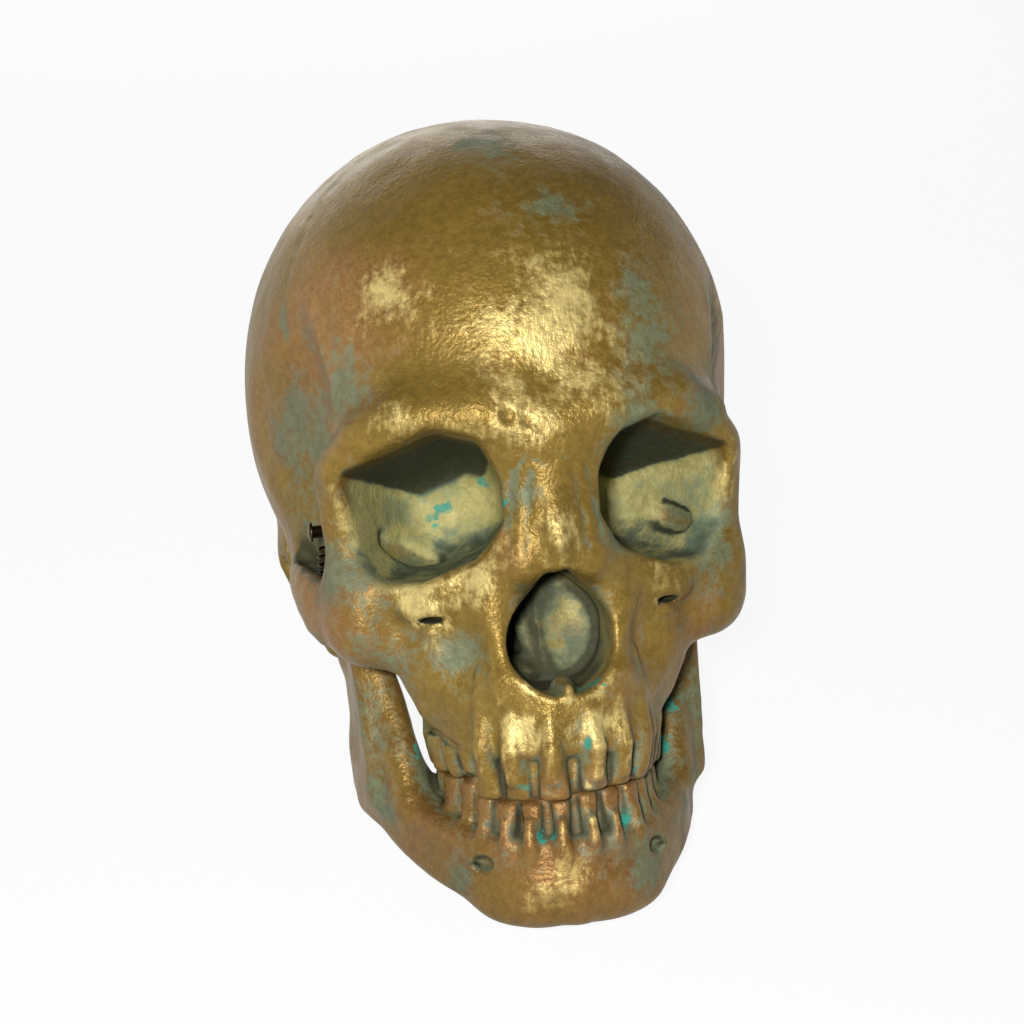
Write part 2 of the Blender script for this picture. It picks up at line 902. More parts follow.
@dataclass(frozen=True)
class NoseOpening:
    """Nose opening: a pear, wide below and narrow above, run back from the face."""

    width: float = 26.6
    low_z: float = -15.5
    top_z: float = 0.2
    top_width: float = 3.0
    lean_x: float = 1.3
    back_y: float = -60.0
    septum: float = 3.0
    septum_front_y: float = -70.0
    shelf: Point = (10.0, -58.0, -13.0)
    shelf_radii: Point = (14.5, 19.0, 30.0)
    lump: tuple[Mark, ...] = (
        ((-1.5, -66, -6), 1.6), ((-5, -68.5, -14), 2.6), ((-3, -68, -22), 2),
    )
    low_lump: Point = (-9.0, -64.0, -26.0)
    low_lump_radii: Point = (9.0, 11.0, 4.6)

    def hole(self, p: Coords) -> Array:
        """Field of the hollow: a leaning, round-ended wedge in the face plane, cut off at its back.

        Args:
            p: Coordinates.

        Returns:
            The field.
        """
        low, top, rise = self.width / 2.0, self.top_width / 2.0, self.top_z - self.low_z
        lean = (low - top) / rise
        straight = math.sqrt(1.0 - lean * lean)
        z = p[2] - self.low_z
        x = np.abs(p[0] - self.lean_x * np.clip(z / rise, 0.0, 1.2))
        side = straight * z - lean * x
        pear = np.where(side < 0.0, np.sqrt(x * x + z * z) - low, straight * x + lean * z - low)
        tip = np.sqrt(x * x + (z - rise) ** 2) - top
        pear = np.where(side > straight * rise, tip, pear)
        return carve(pear, self.back_y - p[1], 3.0)

    def inner(self, p: Coords) -> Array:
        """Field of the bent middle plate, the broad shelf on its left and the lump on its right.

        Args:
            p: Coordinates.

        Returns:
            The field.
        """
        middle = 1.6 - 0.09 * (p[2] + 28.0)
        plate = np.maximum(np.abs(p[0] - middle) - self.septum / 2.0, self.septum_front_y - p[1])
        plate = np.maximum(plate, np.maximum(p[1] - self.back_y - 3.0, p[2] - self.top_z - 3.0))
        plate = np.maximum(plate, self.low_z - self.width / 2.0 - 2.0 - p[2])
        plate = blend(plate, ellipsoid(p, self.shelf, self.shelf_radii), 2.0)
        plate = blend(plate, ellipsoid(p, self.low_lump, self.low_lump_radii), 4.0)
        return blend(plate, limb(p, self.lump), 2.5)

    def inside(self, p: Coords) -> Array:
        """How surely a point lies on the opening's wall behind its rim, from 0 to 1."""
        return np.clip(2.0 - self.hole(p), 0.0, 1.0) * np.clip((p[1] + 93.0) / 5.0, 0.0, 1.0)


@dataclass(frozen=True)
class Hinge:
    """Jaw hinge: condyle, lug, screw and washer on one axis along x."""

    y: float = -12.0
    z: float = -6.0
    condyle_x: float = 40.5
    condyle_width: float = 19.0
    condyle_diameter: float = 12.0
    opening: float = 18.0
    relief: float = 2.2
    lug_diameter: float = 14.0
    lug_thick: float = 4.5
    lug_roof: float = 5.0
    lug_round: float = 1.2
    screw_diameter: float = 4.0
    head_diameter: float = 8.0
    head_height: float = 2.2
    grip: float = 11.0
    washer_diameter: float = 9.0
    washer_thick: float = 1.0
    gap: float = 0.3

    @property
    def condyle_end(self) -> float:
        """Outer end of the condyle."""
        return self.condyle_x + self.condyle_width / 2.0

    @property
    def lug_inner(self) -> float:
        """Inner face of the lug."""
        return self.condyle_end + self.washer_thick + 2.0 * self.gap

    @property
    def lug_outer(self) -> float:
        """Outer face of the lug."""
        return self.lug_inner + self.lug_thick

    @property
    def roof_low(self) -> float:
        """Underside of the roof over the condyle, above the axis."""
        return self.condyle_diameter / 2.0 + self.relief

    def away(self, q: Coords) -> Array:
        """Distance from the hinge axis."""
        return np.sqrt((q[1] - self.y) ** 2 + (q[2] - self.z) ** 2)

    def pocket(self, q: Coords) -> Array:
        """Room round the condyle and washer, inside the lug.

        Args:
            q: Coordinates folded to the left.

        Returns:
            The field.
        """
        low = self.condyle_end - self.condyle_width - self.relief
        ends = np.maximum(low - q[0], q[0] - self.lug_inner)
        return np.maximum(self.away(q) - self.roof_low, ends)

    def bore(self, q: Coords) -> Array:
        """Hole for the screw through lug and condyle."""
        low = self.condyle_end - self.grip - self.gap
        return np.maximum(self.away(q) - self.screw_diameter / 2.0 - self.gap, low - q[0])

    def lug(self, q: Coords) -> Array:
        """Lug hung from a roof that runs into the side of the skull: a round-ended plate and a box.

        Args:
            q: Coordinates folded to the left.

        Returns:
            The field.
        """
        r, top = self.lug_diameter / 2.0, self.roof_low + self.lug_roof
        y, z = q[1] - self.y, q[2] - self.z
        plate = np.maximum(np.sqrt(y * y + np.minimum(z, 0.0) ** 2) - r, z - top)
        middle = (self.lug_inner + self.lug_outer) / 2.0
        plate = both(plate, np.abs(q[0] - middle) - self.lug_thick / 2.0, self.lug_round)
        roof = np.maximum(np.abs(y) - r, np.maximum(self.roof_low - z, z - top))
        roof = both(roof, np.maximum(self.condyle_x - q[0], q[0] - middle), self.lug_round)
        return np.minimum(plate, roof)


@dataclass(frozen=True)
class LowerJaw:
    """Lower jaw casting: a bow with chin, gum and teeth, and two upright plates with condyles."""

    stance: Stance
    hinge: Hinge = Hinge()
    row: ToothRow = LOWER_ROW
    half_width: float = 39.5
    depth: float = 69.0
    back_y: float = -19.0
    thick: float = 12.0
    edge_radius: float = 4.5
    chin_edge_z: float = -83.5
    chin_y: float = -86.0
    edge_rise: float = 0.32
    ridge_drop: float = 1.5
    ridge_rise: float = 0.3
    gum_height: float = 14.0
    gum_thick: float = 11.0
    chin: Point = (0, -89, -78)
    chin_radii: Point = (13, 6.5, 7)
    chin_corner: Point = (12, -84, -79.5)
    chin_corner_radii: Point = (9, 7, 5)
    outline: tuple[tuple[float, float], ...] = (
        (-17, -61), (-10, -40), (-11, -15), (-13, -8), (-16, -9), (-24, -18), (-33, -16), (-41, -3),
        (-44, -6), (-45, -24), (-51, -48), (-50, -60), (-30, -65),
    )
    plate_thick: float = 7.6
    plate_low_x: float = 41.5
    plate_low_z: float = -60.0
    plate_flare: float = 0.06
    plate_edge: float = 2.5
    neck_marks: tuple[Mark, ...] = (((39.5, -12, -9), 4.6), ((43.5, -16, -24), 4))
    chin_ridge: tuple[Mark, ...] = (
        ((0, -92.5, -69), 1.6), ((0, -94.6, -79), 2.6), ((0, -92.5, -83), 2.2),
    )
    nerve_pit: Point = (22.6, -87.2, -70)
    nerve_pit_radii: Point = (2.8, 3.4, 1.8)
    nerve_lump: Point = (24.4, -84.2, -71.2)
    nerve_lump_radii: Point = (1.5, 1.9, 1.2)
    molar_shelf: tuple[Mark, ...] = (
        ((25, -50, -61), 5), ((32.5, -52, -57), 5), ((37, -50, -48), 4),
    )
    front_edge: tuple[Mark, ...] = (
        ((41.5, -41, -20), 3.4), ((38.5, -44.5, -32), 4), ((36.8, -48.5, -40), 4),
        ((36, -53, -49), 4), ((36, -57, -58), 4),
    )

    def bone(self, p: Coords) -> Array:
        """Field of the plain jaw, without teeth and small forms.

        Args:
            p: Coordinates.

        Returns:
            The field.
        """
        q = mirrored(p)
        x, y, z = q
        edge = self.chin_edge_z + np.maximum(y - self.chin_y, -4.0) * self.edge_rise
        ridge = self.row.gum_z - self.ridge_drop
        ridge = ridge + np.maximum(y - self.chin_y, 0.0) * self.ridge_rise
        bow = row_distance(x, y, self.half_width, self.depth, self.back_y)
        middle, half = (ridge + edge) / 2.0, (ridge - edge) / 2.0
        bone = band(bow, z - middle, self.thick / 2.0, half, self.edge_radius)
        bone = carve(bone, self.back_y - y, ROUND)
        plate = outline_distance(y, z, self.outline)
        middle = self.plate_low_x + (z - self.plate_low_z) * self.plate_flare
        across = np.maximum(np.abs(x - middle) - self.plate_thick / 2.0 + self.plate_edge, 0.0)
        along = np.maximum(plate + self.plate_edge, 0.0)
        bone = blend(bone, np.sqrt(along * along + across * across) - self.plate_edge, 8.0)
        h = self.hinge
        radii = (h.condyle_width / 2.0, h.condyle_diameter / 2.0, h.condyle_diameter / 2.0)
        bone = blend(bone, ellipsoid(q, (h.condyle_x, h.y, h.z), radii), SOFT)
        bone = blend(bone, limb(q, self.neck_marks), ROUND)
        bone = blend(bone, limb(q, self.front_edge), 5.0)
        bone = blend(bone, ellipsoid(q, self.chin, self.chin_radii), ROUND)
        bone = blend(bone, ellipsoid(q, self.chin_corner, self.chin_corner_radii), 10.0)
        bone = blend(bone, limb(q, self.molar_shelf), 5.0)
        return blend(bone, self.row.gum(p, -self.gum_height, self.gum_thick), ROUND)

    def form(self, p: Coords) -> Array:
        """Field of the whole jaw: bone, small ridges, teeth, nerve pits, bores and table flats.

        Args:
            p: Coordinates.

        Returns:
            The field.
        """
        q = mirrored(p)
        bone = self.bone(p)
        bone = blend(bone, limb(q, self.chin_ridge), 4.0)
        bone = blend(bone, self.row.roots(p, 1.7, 1.0), 2.5)
        bone = carve(bone, ellipsoid(q, self.nerve_pit, self.nerve_pit_radii), 1.2)
        bone = blend(bone, ellipsoid(q, self.nerve_lump, self.nerve_lump_radii), 1.0)
        bone = blend(bone, self.row.web(p), 1.0)
        bone = blend(bone, self.row.crowns(p), 0.8)
        bone = carve(bone, self.hinge.bore(q), 0.2)
        return np.maximum(bone, -self.stance.height(p))

    def surface(self) -> Surface:
        """Fine mesh of the jaw with its paint values.

        Returns:
            The surface, in the skull frame.
        """
        surface = JAW_GRID.skin(self.form)
        bare = np.zeros(len(surface.points))
        return Weathering(self.stance, self.hinge).aged(surface, self.form, bare, bare)


@dataclass(frozen=True)
class Cranium:
    """Hollow cranium casting in two shells, with sockets, nose, cheek arches and upper teeth."""

    stance: Stance
    jaw: LowerJaw
    hinge: Hinge = Hinge()
    socket: EyeSocket = EyeSocket()
    nose: NoseOpening = NoseOpening()
    row: ToothRow = UPPER_ROW
    vault_centre: Point = (0, -5, 47.5)
    vault_radii: Point = (68, 90.5, 74.5)
    vault_power: float = 2.1
    nape_centre: Point = (0, 50, 24)
    nape_radii: Point = (52, 38, 42)
    base_centre: Point = (0, 18, -2)
    base_radii: Point = (46, 50, 21)
    wall: float = 5.0
    hollow_floor_z: float = -10.0
    temple_centre: Point = (172, -75, 28)
    temple_radius: float = 120.0
    pit_centre: Point = (72, -57, 10)
    pit_radii: Point = (29, 27, 32)
    seam_y: float = 1.0
    seam_gap: float = 0.3
    brow: tuple[Mark, ...] = (
        ((0, -93, 37), 6), ((16, -92.5, 40), 6.3), ((34, -86.5, 40.5), 5.8),
        ((44, -80, 36.5), 4.8), ((47.6, -74.5, 29), 4.2),
    )
    outer_rim: tuple[Mark, ...] = (
        ((47.6, -74.5, 29), 4.2), ((48.8, -70, 16), 4.2), ((47.5, -67, 2), 5),
    )
    temple_dish: Point = (72.4, -60, 42)
    temple_dish_radii: Point = (25, 22, 34)
    lower_rim: tuple[Mark, ...] = (
        ((47, -70, 0), 4.6), ((32, -78, -3), 4.8), ((18, -85, 3), 4.3),
    )
    nose_side: tuple[Mark, ...] = (
        ((7, -88, 28), 4.6), ((11, -89.5, 8), 4.6), ((16, -87, -10), 4.6),
        ((15, -88, -24), 4.8),
    )
    nose_bridge: tuple[Mark, ...] = (
        ((0, -90.8, 30), 5.6), ((0, -96.2, 17), 3.6), ((0.4, -98.4, 9), 3.2),
        ((0.6, -96.6, 4), 3),
    )
    brow_pits: tuple[Mark, ...] = (
        ((-10.1, -100.3, 40), 2), ((-6, -100.6, 38.2), 1.6), ((-2.6, -100.7, 36.4), 1.2),
        ((-7.6, -98.6, 30.6), 1.2),
    )
    bite_gap: tuple[Mark, ...] = (
        ((-27, -82.6, -49.4), 1.5), ((-20, -79, -49.8), 1.5), ((-13, -75.5, -50), 1.6),
    )
    nose_slope: tuple[Mark, ...] = (
        ((3, -89.5, 28), 5.2), ((5.2, -92.6, 15), 5.2), ((7.2, -93.2, 4), 5),
    )
    cheek_centre: Point = (42.5, -67, -8)
    cheek_radii: Point = (11, 9.5, 12.5)
    cheek_strut: tuple[Mark, ...] = (
        ((43, -67, -11), 7), ((33, -70, -20), 5), ((28.5, -70, -31), 4.5),
    )
    cheek_arch: tuple[Mark, ...] = (
        ((47.5, -65, -8), 8.5), ((51.2, -60.5, -8.2), 9), ((54.3, -55.5, -7.4), 9),
        ((56.4, -50.5, -5.6), 8.4), ((57.7, -45.5, -3.5), 7.4), ((58.8, -38, -1.9), 6.1),
        ((59, -32, -1), 5.5), ((58.5, -26, 0), 5.2), ((57, -16, 2.6), 5),
        ((54, -6, 4), 6.5),
    )
    maxilla_centre: Point = (0, -63, -20)
    maxilla_radii: Point = (29, 31, 30)
    sinus_centre: Point = (20, -70, -12)
    sinus_radii: Point = (16, 18, 25)
    canine_hollow: Point = (29, -91, -18)
    canine_radii: Point = (10, 8, 11)
    palate_centre: Point = (0, -60, -45)
    palate_radii: Point = (19, 30, 9)
    mastoid: tuple[Mark, ...] = (((50, 11, 2), 11), ((44.5, 14, -23.5), 5.6))
    sphenoid: tuple[Mark, ...] = (((0, 0, -15), 11), ((0, -38, -6), 12))
    pterygoid: tuple[Mark, ...] = (((14, -44, -10), 5), ((14.5, -42, -33), 4.5))
    spine_hole_y: float = 24.0
    spine_hole_radii: tuple[float, float] = (15.0, 16.0)
    spine_hole_top: float = 7.0
    ear_hole: Point = (56, 7, -1)
    ear_hole_radius: float = 4.0
    ear_hole_depth: float = 9.0
    gum_thick: float = 10.0
    gum_top_z: float = -22.0
    nose_spine: tuple[Mark, ...] = (((0, -91, -28), 3.2), ((0, -99.5, -27), 1.3))
    cheek_slit: Point = (29.8, -82, -9)
    cheek_slit_radii: Point = (2.7, 5, 0.62)
    cheek_hood: tuple[Mark, ...] = (
        ((24.5, -84, -6.6), 1.4), ((29.5, -83, -6.4), 1.9), ((35, -79.5, -7), 1.5),
    )
    cheek_lump: Point = (29.6, -81.6, -11.8)
    cheek_lump_radii: Point = (2.4, 2.4, 1.5)
    gum_crack: tuple[Mark, ...] = (
        ((-31, -57, -39), 1), ((-29, -75, -39.5), 1), ((-26.4, -78, -41.4), 1.2),
        ((-25, -82.4, -41.6), 1), ((-24.2, -83, -43.8), 0.9), ((-23, -84.5, -46.4), 1),
    )
    nape_knob: Point = (0, 86.5, 20)
    nape_knob_radii: Point = (8, 4.5, 5)
    nape_line: tuple[Mark, ...] = (
        ((0, 87, 20), 2), ((26, 79, 17), 1.8), ((45, 52, 8), 1.6),
        ((51, 24, -4), 2),
    )
    neck_pads: Point = (15.5, 7.5, -22.5)
    neck_pad_radii: Point = (5, 9, 4)
    nose_lining: float = 0.55
    nose_wash: float = 0.36
    brow_shade: float = 1.14

    def braincase(self, p: Coords, q: Coords) -> Array:
        """Field of the braincase: a full ellipsoid, nape and base, flattened at the temples.

        Args:
            p: Coordinates.
            q: Coordinates folded to the left.

        Returns:
            The field.
        """
        bone = ellipsoid(p, self.vault_centre, self.vault_radii, self.vault_power)
        bone = blend(bone, ellipsoid(p, self.nape_centre, self.nape_radii), 30.0)
        bone = blend(bone, ellipsoid(p, self.base_centre, self.base_radii), 22.0)
        r = self.temple_radius
        return carve(bone, ellipsoid(q, self.temple_centre, (r, r, r)), 1.6)

    def face_bone(self, p: Coords, q: Coords) -> Array:
        """Field of the upper jaw, cheeks, lower rims, nose and gum.

        Args:
            p: Coordinates.
            q: Coordinates folded to the left.

        Returns:
            The field.
        """
        sinus = ellipsoid(q, self.sinus_centre, self.sinus_radii)
        bone = blend(ellipsoid(p, self.maxilla_centre, self.maxilla_radii), sinus, BROAD)
        cheek = ellipsoid(q, self.cheek_centre, self.cheek_radii)
        bone = blend(bone, blend(cheek, limb(q, self.cheek_strut), ROUND), ROUND)
        for marks in (self.lower_rim, self.nose_side, self.nose_slope):
            bone = blend(bone, limb(q, marks), ROUND)
        bone = blend(bone, limb(p, self.nose_bridge), 4.5)
        gum = self.row.gum(p, self.gum_top_z - self.row.gum_z, self.gum_thick)
        return blend(bone, gum, ROUND)

    def bone(self, p: Coords) -> Array:
        """Field of the cranium without teeth, hollow and small holes.

        Args:
            p: Coordinates.

        Returns:
            The field.
        """
        q = mirrored(p)
        eye = self.socket.hole(q)
        pit = np.maximum(ellipsoid(q, self.pit_centre, self.pit_radii), self.socket.wall - eye)
        bone = carve(self.braincase(p, q), pit, BROAD)
        edge = 0.8 + 10.0 * np.clip((p[1] + 65.0) / 13.0, 0.0, 1.0)
        bone = carve(bone, ellipsoid(q, self.temple_dish, self.temple_dish_radii), edge)
        bone = blend(bone, carve(eye - self.socket.wall, p[1] - self.socket.cup_y, SOFT), SOFT)
        bone = blend(bone, limb(q, self.brow), BROAD)
        bone = blend(bone, limb(q, self.outer_rim), ROUND)
        bone = blend(bone, self.face_bone(p, q), 8.0)
        bone = blend(bone, limb(q, self.mastoid), 8.0)
        bone = blend(bone, limb(p, self.sphenoid), BROAD)
        bone = blend(bone, limb(q, self.pterygoid), ROUND)
        bone = carve(bone, ellipsoid(q, self.canine_hollow, self.canine_radii), ROUND)
        bone = carve(bone, eye, 1.8)
        bone = carve(bone, self.nose.hole(p), 1.4)
        bone = carve(bone, ellipsoid(p, self.palate_centre, self.palate_radii), ROUND)
        for share in (0.0, 0.5, 1.0):
            opened = self.stance.opened_back(p, self.hinge.opening * share)
            bone = carve(bone, self.jaw.bone(opened) - self.hinge.relief, SOFT)
        return bone

    def hollowed(self, p: Coords, bone: Array) -> Array:
        """Bone with the brain hollow taken out: the braincase less its wall, above a floor.

        Args:
            p: Coordinates.
            bone: Field of the bone.

        Returns:
            The field.
        """
        room = ellipsoid(p, self.vault_centre, self.vault_radii) + self.wall
        hollow = carve(np.maximum(bone + self.wall, room), p[2] - self.hollow_floor_z, 12.0)
        return np.maximum(bone, -hollow)

    def face(self, p: Coords) -> Array:
        """Field of the face shell, with its fine forms and teeth.

        Args:
            p: Coordinates.

        Returns:
            The field.
        """
        q = mirrored(p)
        bone = self.hollowed(p, self.bone(p))
        bone = blend(bone, self.nose.inner(p), 1.5)
        bone = blend(bone, limb(q, self.cheek_arch, (2.4, 1.0, 1.0)), 5.0)
        bone = blend(bone, limb(q, self.cheek_hood), 2.5)
        bone = blend(bone, limb(p, self.nose_spine), 2.5)
        bone = blend(bone, self.row.roots(p, 2.9, 1.8), 1.6)
        bone = self.socket.pits(bone, p)
        for at, size in self.brow_pits:
            bone = carve(bone, ellipsoid(p, at, (size, size * 0.8, size * 1.2)), 0.7)
        bone = carve(bone, ellipsoid(q, self.cheek_slit, self.cheek_slit_radii), 0.6)
        bone = blend(bone, ellipsoid(q, self.cheek_lump, self.cheek_lump_radii), 1.5)
        bone = carve(bone, self.hinge.pocket(q), 0.4)
        bone = np.minimum(bone, self.hinge.lug(q))
        bone = carve(bone, self.hinge.bore(q), 0.2)
        bone = blend(bone, self.row.web(p), 1.0)
        bone = blend(bone, self.row.crowns(p), 0.8)
        bone = carve(bone, limb(p, self.gum_crack), 0.5)
        bone = carve(bone, limb(p, self.bite_gap), 0.6)
        return np.maximum(bone, p[1] - self.seam_y + self.seam_gap / 2.0)

    def rear(self, p: Coords) -> Array:
        """Field of the rear shell, with the nape's ridges, spine hole, ear holes and table flat.

        Args:
            p: Coordinates.

        Returns:
            The field.
        """
        q = mirrored(p)
        bone = self.bone(p)
        bone = blend(bone, ellipsoid(p, self.nape_knob, self.nape_knob_radii), 5.0)
        bone = blend(bone, limb(q, self.nape_line), 5.0)
        bone = blend(bone, ellipsoid(q, self.neck_pads, self.neck_pad_radii), 3.0)
        bone = self.hollowed(p, bone)
        rx, ry = self.spine_hole_radii
        size = np.sqrt((p[0] / rx) ** 2 + ((p[1] - self.spine_hole_y) / ry) ** 2)
        bone = carve(bone, np.maximum((size - 1.0) * rx, p[2] - self.spine_hole_top), 1.6)
        ear_x, ear_y, ear_z = self.ear_hole
        ear = np.sqrt((q[1] - ear_y) ** 2 + (q[2] - ear_z) ** 2) - self.ear_hole_radius
        ear = np.maximum(ear, np.abs(q[0] - ear_x) - self.ear_hole_depth)
        bone = carve(bone, ear, 1.6)
        bone = np.maximum(bone, self.seam_y + self.seam_gap / 2.0 - p[1])
        return np.maximum(bone, -self.stance.height(p))

    def surface(self, half: Half) -> Surface:
        """Fine mesh of one shell with its paint values.

        Args:
            half: The shell.

        Returns:
            The surface, in the skull frame.
        """
        form, grid = (self.face, FACE_GRID) if half is Half.FACE else (self.rear, REAR_GRID)
        surface = grid.skin(form)
        p = columns(surface.points)
        nose = self.nose.inside(p)
        lining = np.maximum(self.socket.inside(mirrored(p)), self.nose_lining * nose)
        under = self.socket.inside(mirrored(p), self.brow_shade)
        surface = Weathering(self.stance, self.hinge).aged(surface, form, lining, under)
        surface.values["crevice"] += self.nose_wash * nose
        return surface


@dataclass(frozen=True)
class Splash:
    """A patch of paint about a point of the skull."""

    at: Point
    reach: float
    share: float = 1.0


@dataclass(frozen=True)
class Weathering:
    """Casting unevenness, sutures and the places of wear, wash and patina on the bone."""

    stance: Stance
    hinge: Hinge
    waves: Grain = Grain(11, 16.0)
    lumps: Grain = Grain(12, 5.0)
    patches: Grain = Grain(13, 9.0)
    wave_height: float = 0.32
    lump_height: float = 0.12
    suture_depth: float = 0.4
    suture_green: float = 0.6
    rough_gain: float = 3.5
    patch_gain: float = 0.6
    roof_wash: float = 1.1
    floor_wash: float = 0.6
    floor_green: float = 0.1
    seam_y: float = 1.0
    gilt: tuple[Splash, ...] = (
        Splash((5, -94, 60), 24, 0.9), Splash((-36, -79, 70), 13, 0.7),
        Splash((-35, -90, 40), 9, 0.5), Splash((-46, -73, 15), 8),
        Splash((-33, -83, -3), 9), Splash((-20, -89, 1), 8, 0.7),
        Splash((0, -100, 10), 6, 0.8), Splash((47, -73, 17), 8),
        Splash((28, -86, -3), 9, 0.55), Splash((-13, -96, -37), 10, 0.95),
        Splash((8, -99, -40), 11, 0.9), Splash((-2, -97, -72), 7, 0.9),
        Splash((-10, -95, -77), 6, 0.8), Splash((-9, -99, 37), 11, 0.5),
        Splash((-28, -82, -15), 7, 0.6), Splash((-37, -54, -47), 7, 0.6),
        Splash((-11, -93, 6), 8, 0.5), Splash((0, 92, 45), 20, 0.6),
        Splash((-50, 30, 75), 18, 0.5), Splash((45, 40, 70), 18, 0.5),
        Splash((0, 20, 120), 20, 0.5),
    )
    warm: tuple[Splash, ...] = (
        Splash((-56, -66, -2), 18), Splash((-58, -48, 50), 26, 0.8),
        Splash((-11, -96, 5), 8, 0.9), Splash((40, -74, -16), 14, 0.8),
        Splash((-42, -72, 66), 18, 0.9), Splash((60, -30, 40), 34, 0.6),
        Splash((0, -94, -63), 20, 0.9), Splash((-32, -72, -66), 18, 0.9),
        Splash((0, 80, 70), 30, 0.8), Splash((-55, 10, 30), 24, 0.7),
    )
    green: tuple[Splash, ...] = (
        Splash((-4, -57, 110), 12, 0.7), Splash((7, -80, 91), 10, 0.7),
        Splash((28, -86, 64), 12, 0.8), Splash((-46, -73, 52), 9, 0.8),
        Splash((-56, -40, 40), 20, 0.7), Splash((42, -86, 38), 9, 0.8),
        Splash((-8, -97, 22), 6, 0.8), Splash((22, -95, 37), 9, 0.7),
        Splash((-46, -47, -40), 15, 0.8), Splash((38, -62, -64), 14, 0.8),
        Splash((-24, -84, -18), 6, 0.7), Splash((18, -92, -72), 9, 0.7),
        Splash((-28, -79, -76), 9, 0.7), Splash((46, -47, -39), 12, 0.8),
        Splash((57, -50, 46), 18, 0.7), Splash((-53, -72, 4), 9, 0.6),
        Splash((15, -92, 8), 8, 0.7), Splash((44, -77, 2), 8, 0.5),
        Splash((4, -99, -38), 7, 0.4), Splash((-46, -52, -60), 9, 0.8),
        Splash((30, 70, 60), 20, 0.7), Splash((-35, 55, 80), 18, 0.7),
        Splash((-20, 85, 20), 16, 0.7), Splash((48, 30, 0), 14, 0.7),
        Splash((-60, 20, 45), 16, 0.6),
    )
    teal: tuple[Splash, ...] = (
        Splash((4, -101, -40), 2), Splash((-12, -96, -50), 2.4),
        Splash((17, -93, -49), 2.6), Splash((6, -94, -27), 3.2),
        Splash((-6, -98, 27), 2.2, 0.8), Splash((-11, -94, 19), 2.6, 0.8),
        Splash((-9, -95, -63), 2, 0.8), Splash((-4, -96, -63), 1.8, 0.8),
        Splash((14, -91, -62), 2.6), Splash((-22, -80, -61), 3, 0.8),
        Splash((-33, -54, -46), 4, 0.8), Splash((37, -53, -41), 5, 0.9),
        Splash((33, -57, -51), 4, 0.9), Splash((-24, -45, 13), 2.8),
        Splash((-17, -44, 17), 2.8), Splash((-10, -52, 23), 3.2),
        Splash((-20.5, -44.5, 15), 2.6),
        Splash((8.4, -96, -27), 2.2), Splash((12.3, -94.3, -23), 2.2, 0.8),
    )
    rough: tuple[Splash, ...] = (
        Splash((-27, -74, -45), 13), Splash((-8, -100, 38), 8),
        Splash((2, -97, -38), 18, 0.6), Splash((-26, -83, -17), 9, 0.6),
        Splash((-30, -56, 8), 12, 0.7), Splash((34, -57, 8), 14, 0.8),
        Splash((-6, -68, -18), 9),
    )

    def sutures(self, points: Array) -> Array:
        """Nearness to the skull's seam lines, 1 on a line and 0 away from it.

        Each line is a wavy curve: the coronal one a parabola in y over x, the sagittal one along
        x = 0, the lambdoid one falling to both sides at the back, one across the top of the nose,
        and two down each flank of it.

        Args:
            points: Points of the surface.

        Returns:
            One value a point.
        """
        x, y, z = columns(points)
        wave = 0.9 * np.sin(y * 1.1 + np.sin(y * 0.37)) + 0.6 * np.sin(y * 2.3 + 1.0)
        ripple = 0.8 * np.sin(x * 1.2 + np.sin(x * 0.31)) + 0.5 * np.sin(x * 2.6 + 2.0)
        coronal = np.abs(y + 22.0 + 21.7 * (x / 57.0) ** 2 + ripple * 0.6)
        coronal = coronal / (1.0 + 0.013 * np.abs(x))
        coronal = np.where((z > 62.0) & (np.abs(x) > 3.0), coronal, FAR_MM)
        sagittal = np.where((y > -22.0) & (y < 72.0) & (z > 60.0), np.abs(x + wave), FAR_MM)
        lambdoid = np.abs(z - 88.0 + 1.05 * np.abs(x) + ripple) / 1.45
        lambdoid = np.where((y > 30.0) & (z > 24.0) & (z < 90.0), lambdoid, FAR_MM)
        away = np.minimum(coronal, np.minimum(sagittal, lambdoid))
        bridge = np.abs(z - 28.6 - 0.7 * np.sin(x * 0.9))
        bridge = np.where((y < -90.0) & (np.abs(x) < 8.0), bridge, FAR_MM)
        flank = np.abs(np.abs(np.abs(x) - 7.4 - 0.13 * (26.0 - z) + 0.3 * np.sin(z * 0.8)) - 2.0)
        flank = np.where((y < -86.0) & (z > 7.0) & (z < 27.0), flank, FAR_MM)
        away = np.minimum(away, np.minimum(bridge, flank))
        return np.exp(-((away / 0.8) ** 2))

    @staticmethod
    def splashed(points: Array, splashes: Sequence[Splash]) -> Array:
        """Sum of soft round patches: each falls off with the square of the distance over its reach.

        Args:
            points: Points of the surface.
            splashes: The patches.

        Returns:
            One value a point.
        """
        total = np.zeros(len(points))
        for splash in splashes:
            away = ((points - np.array(splash.at)) ** 2).sum(axis=1) / splash.reach**2
            total += splash.share * np.exp(-away)
        return total

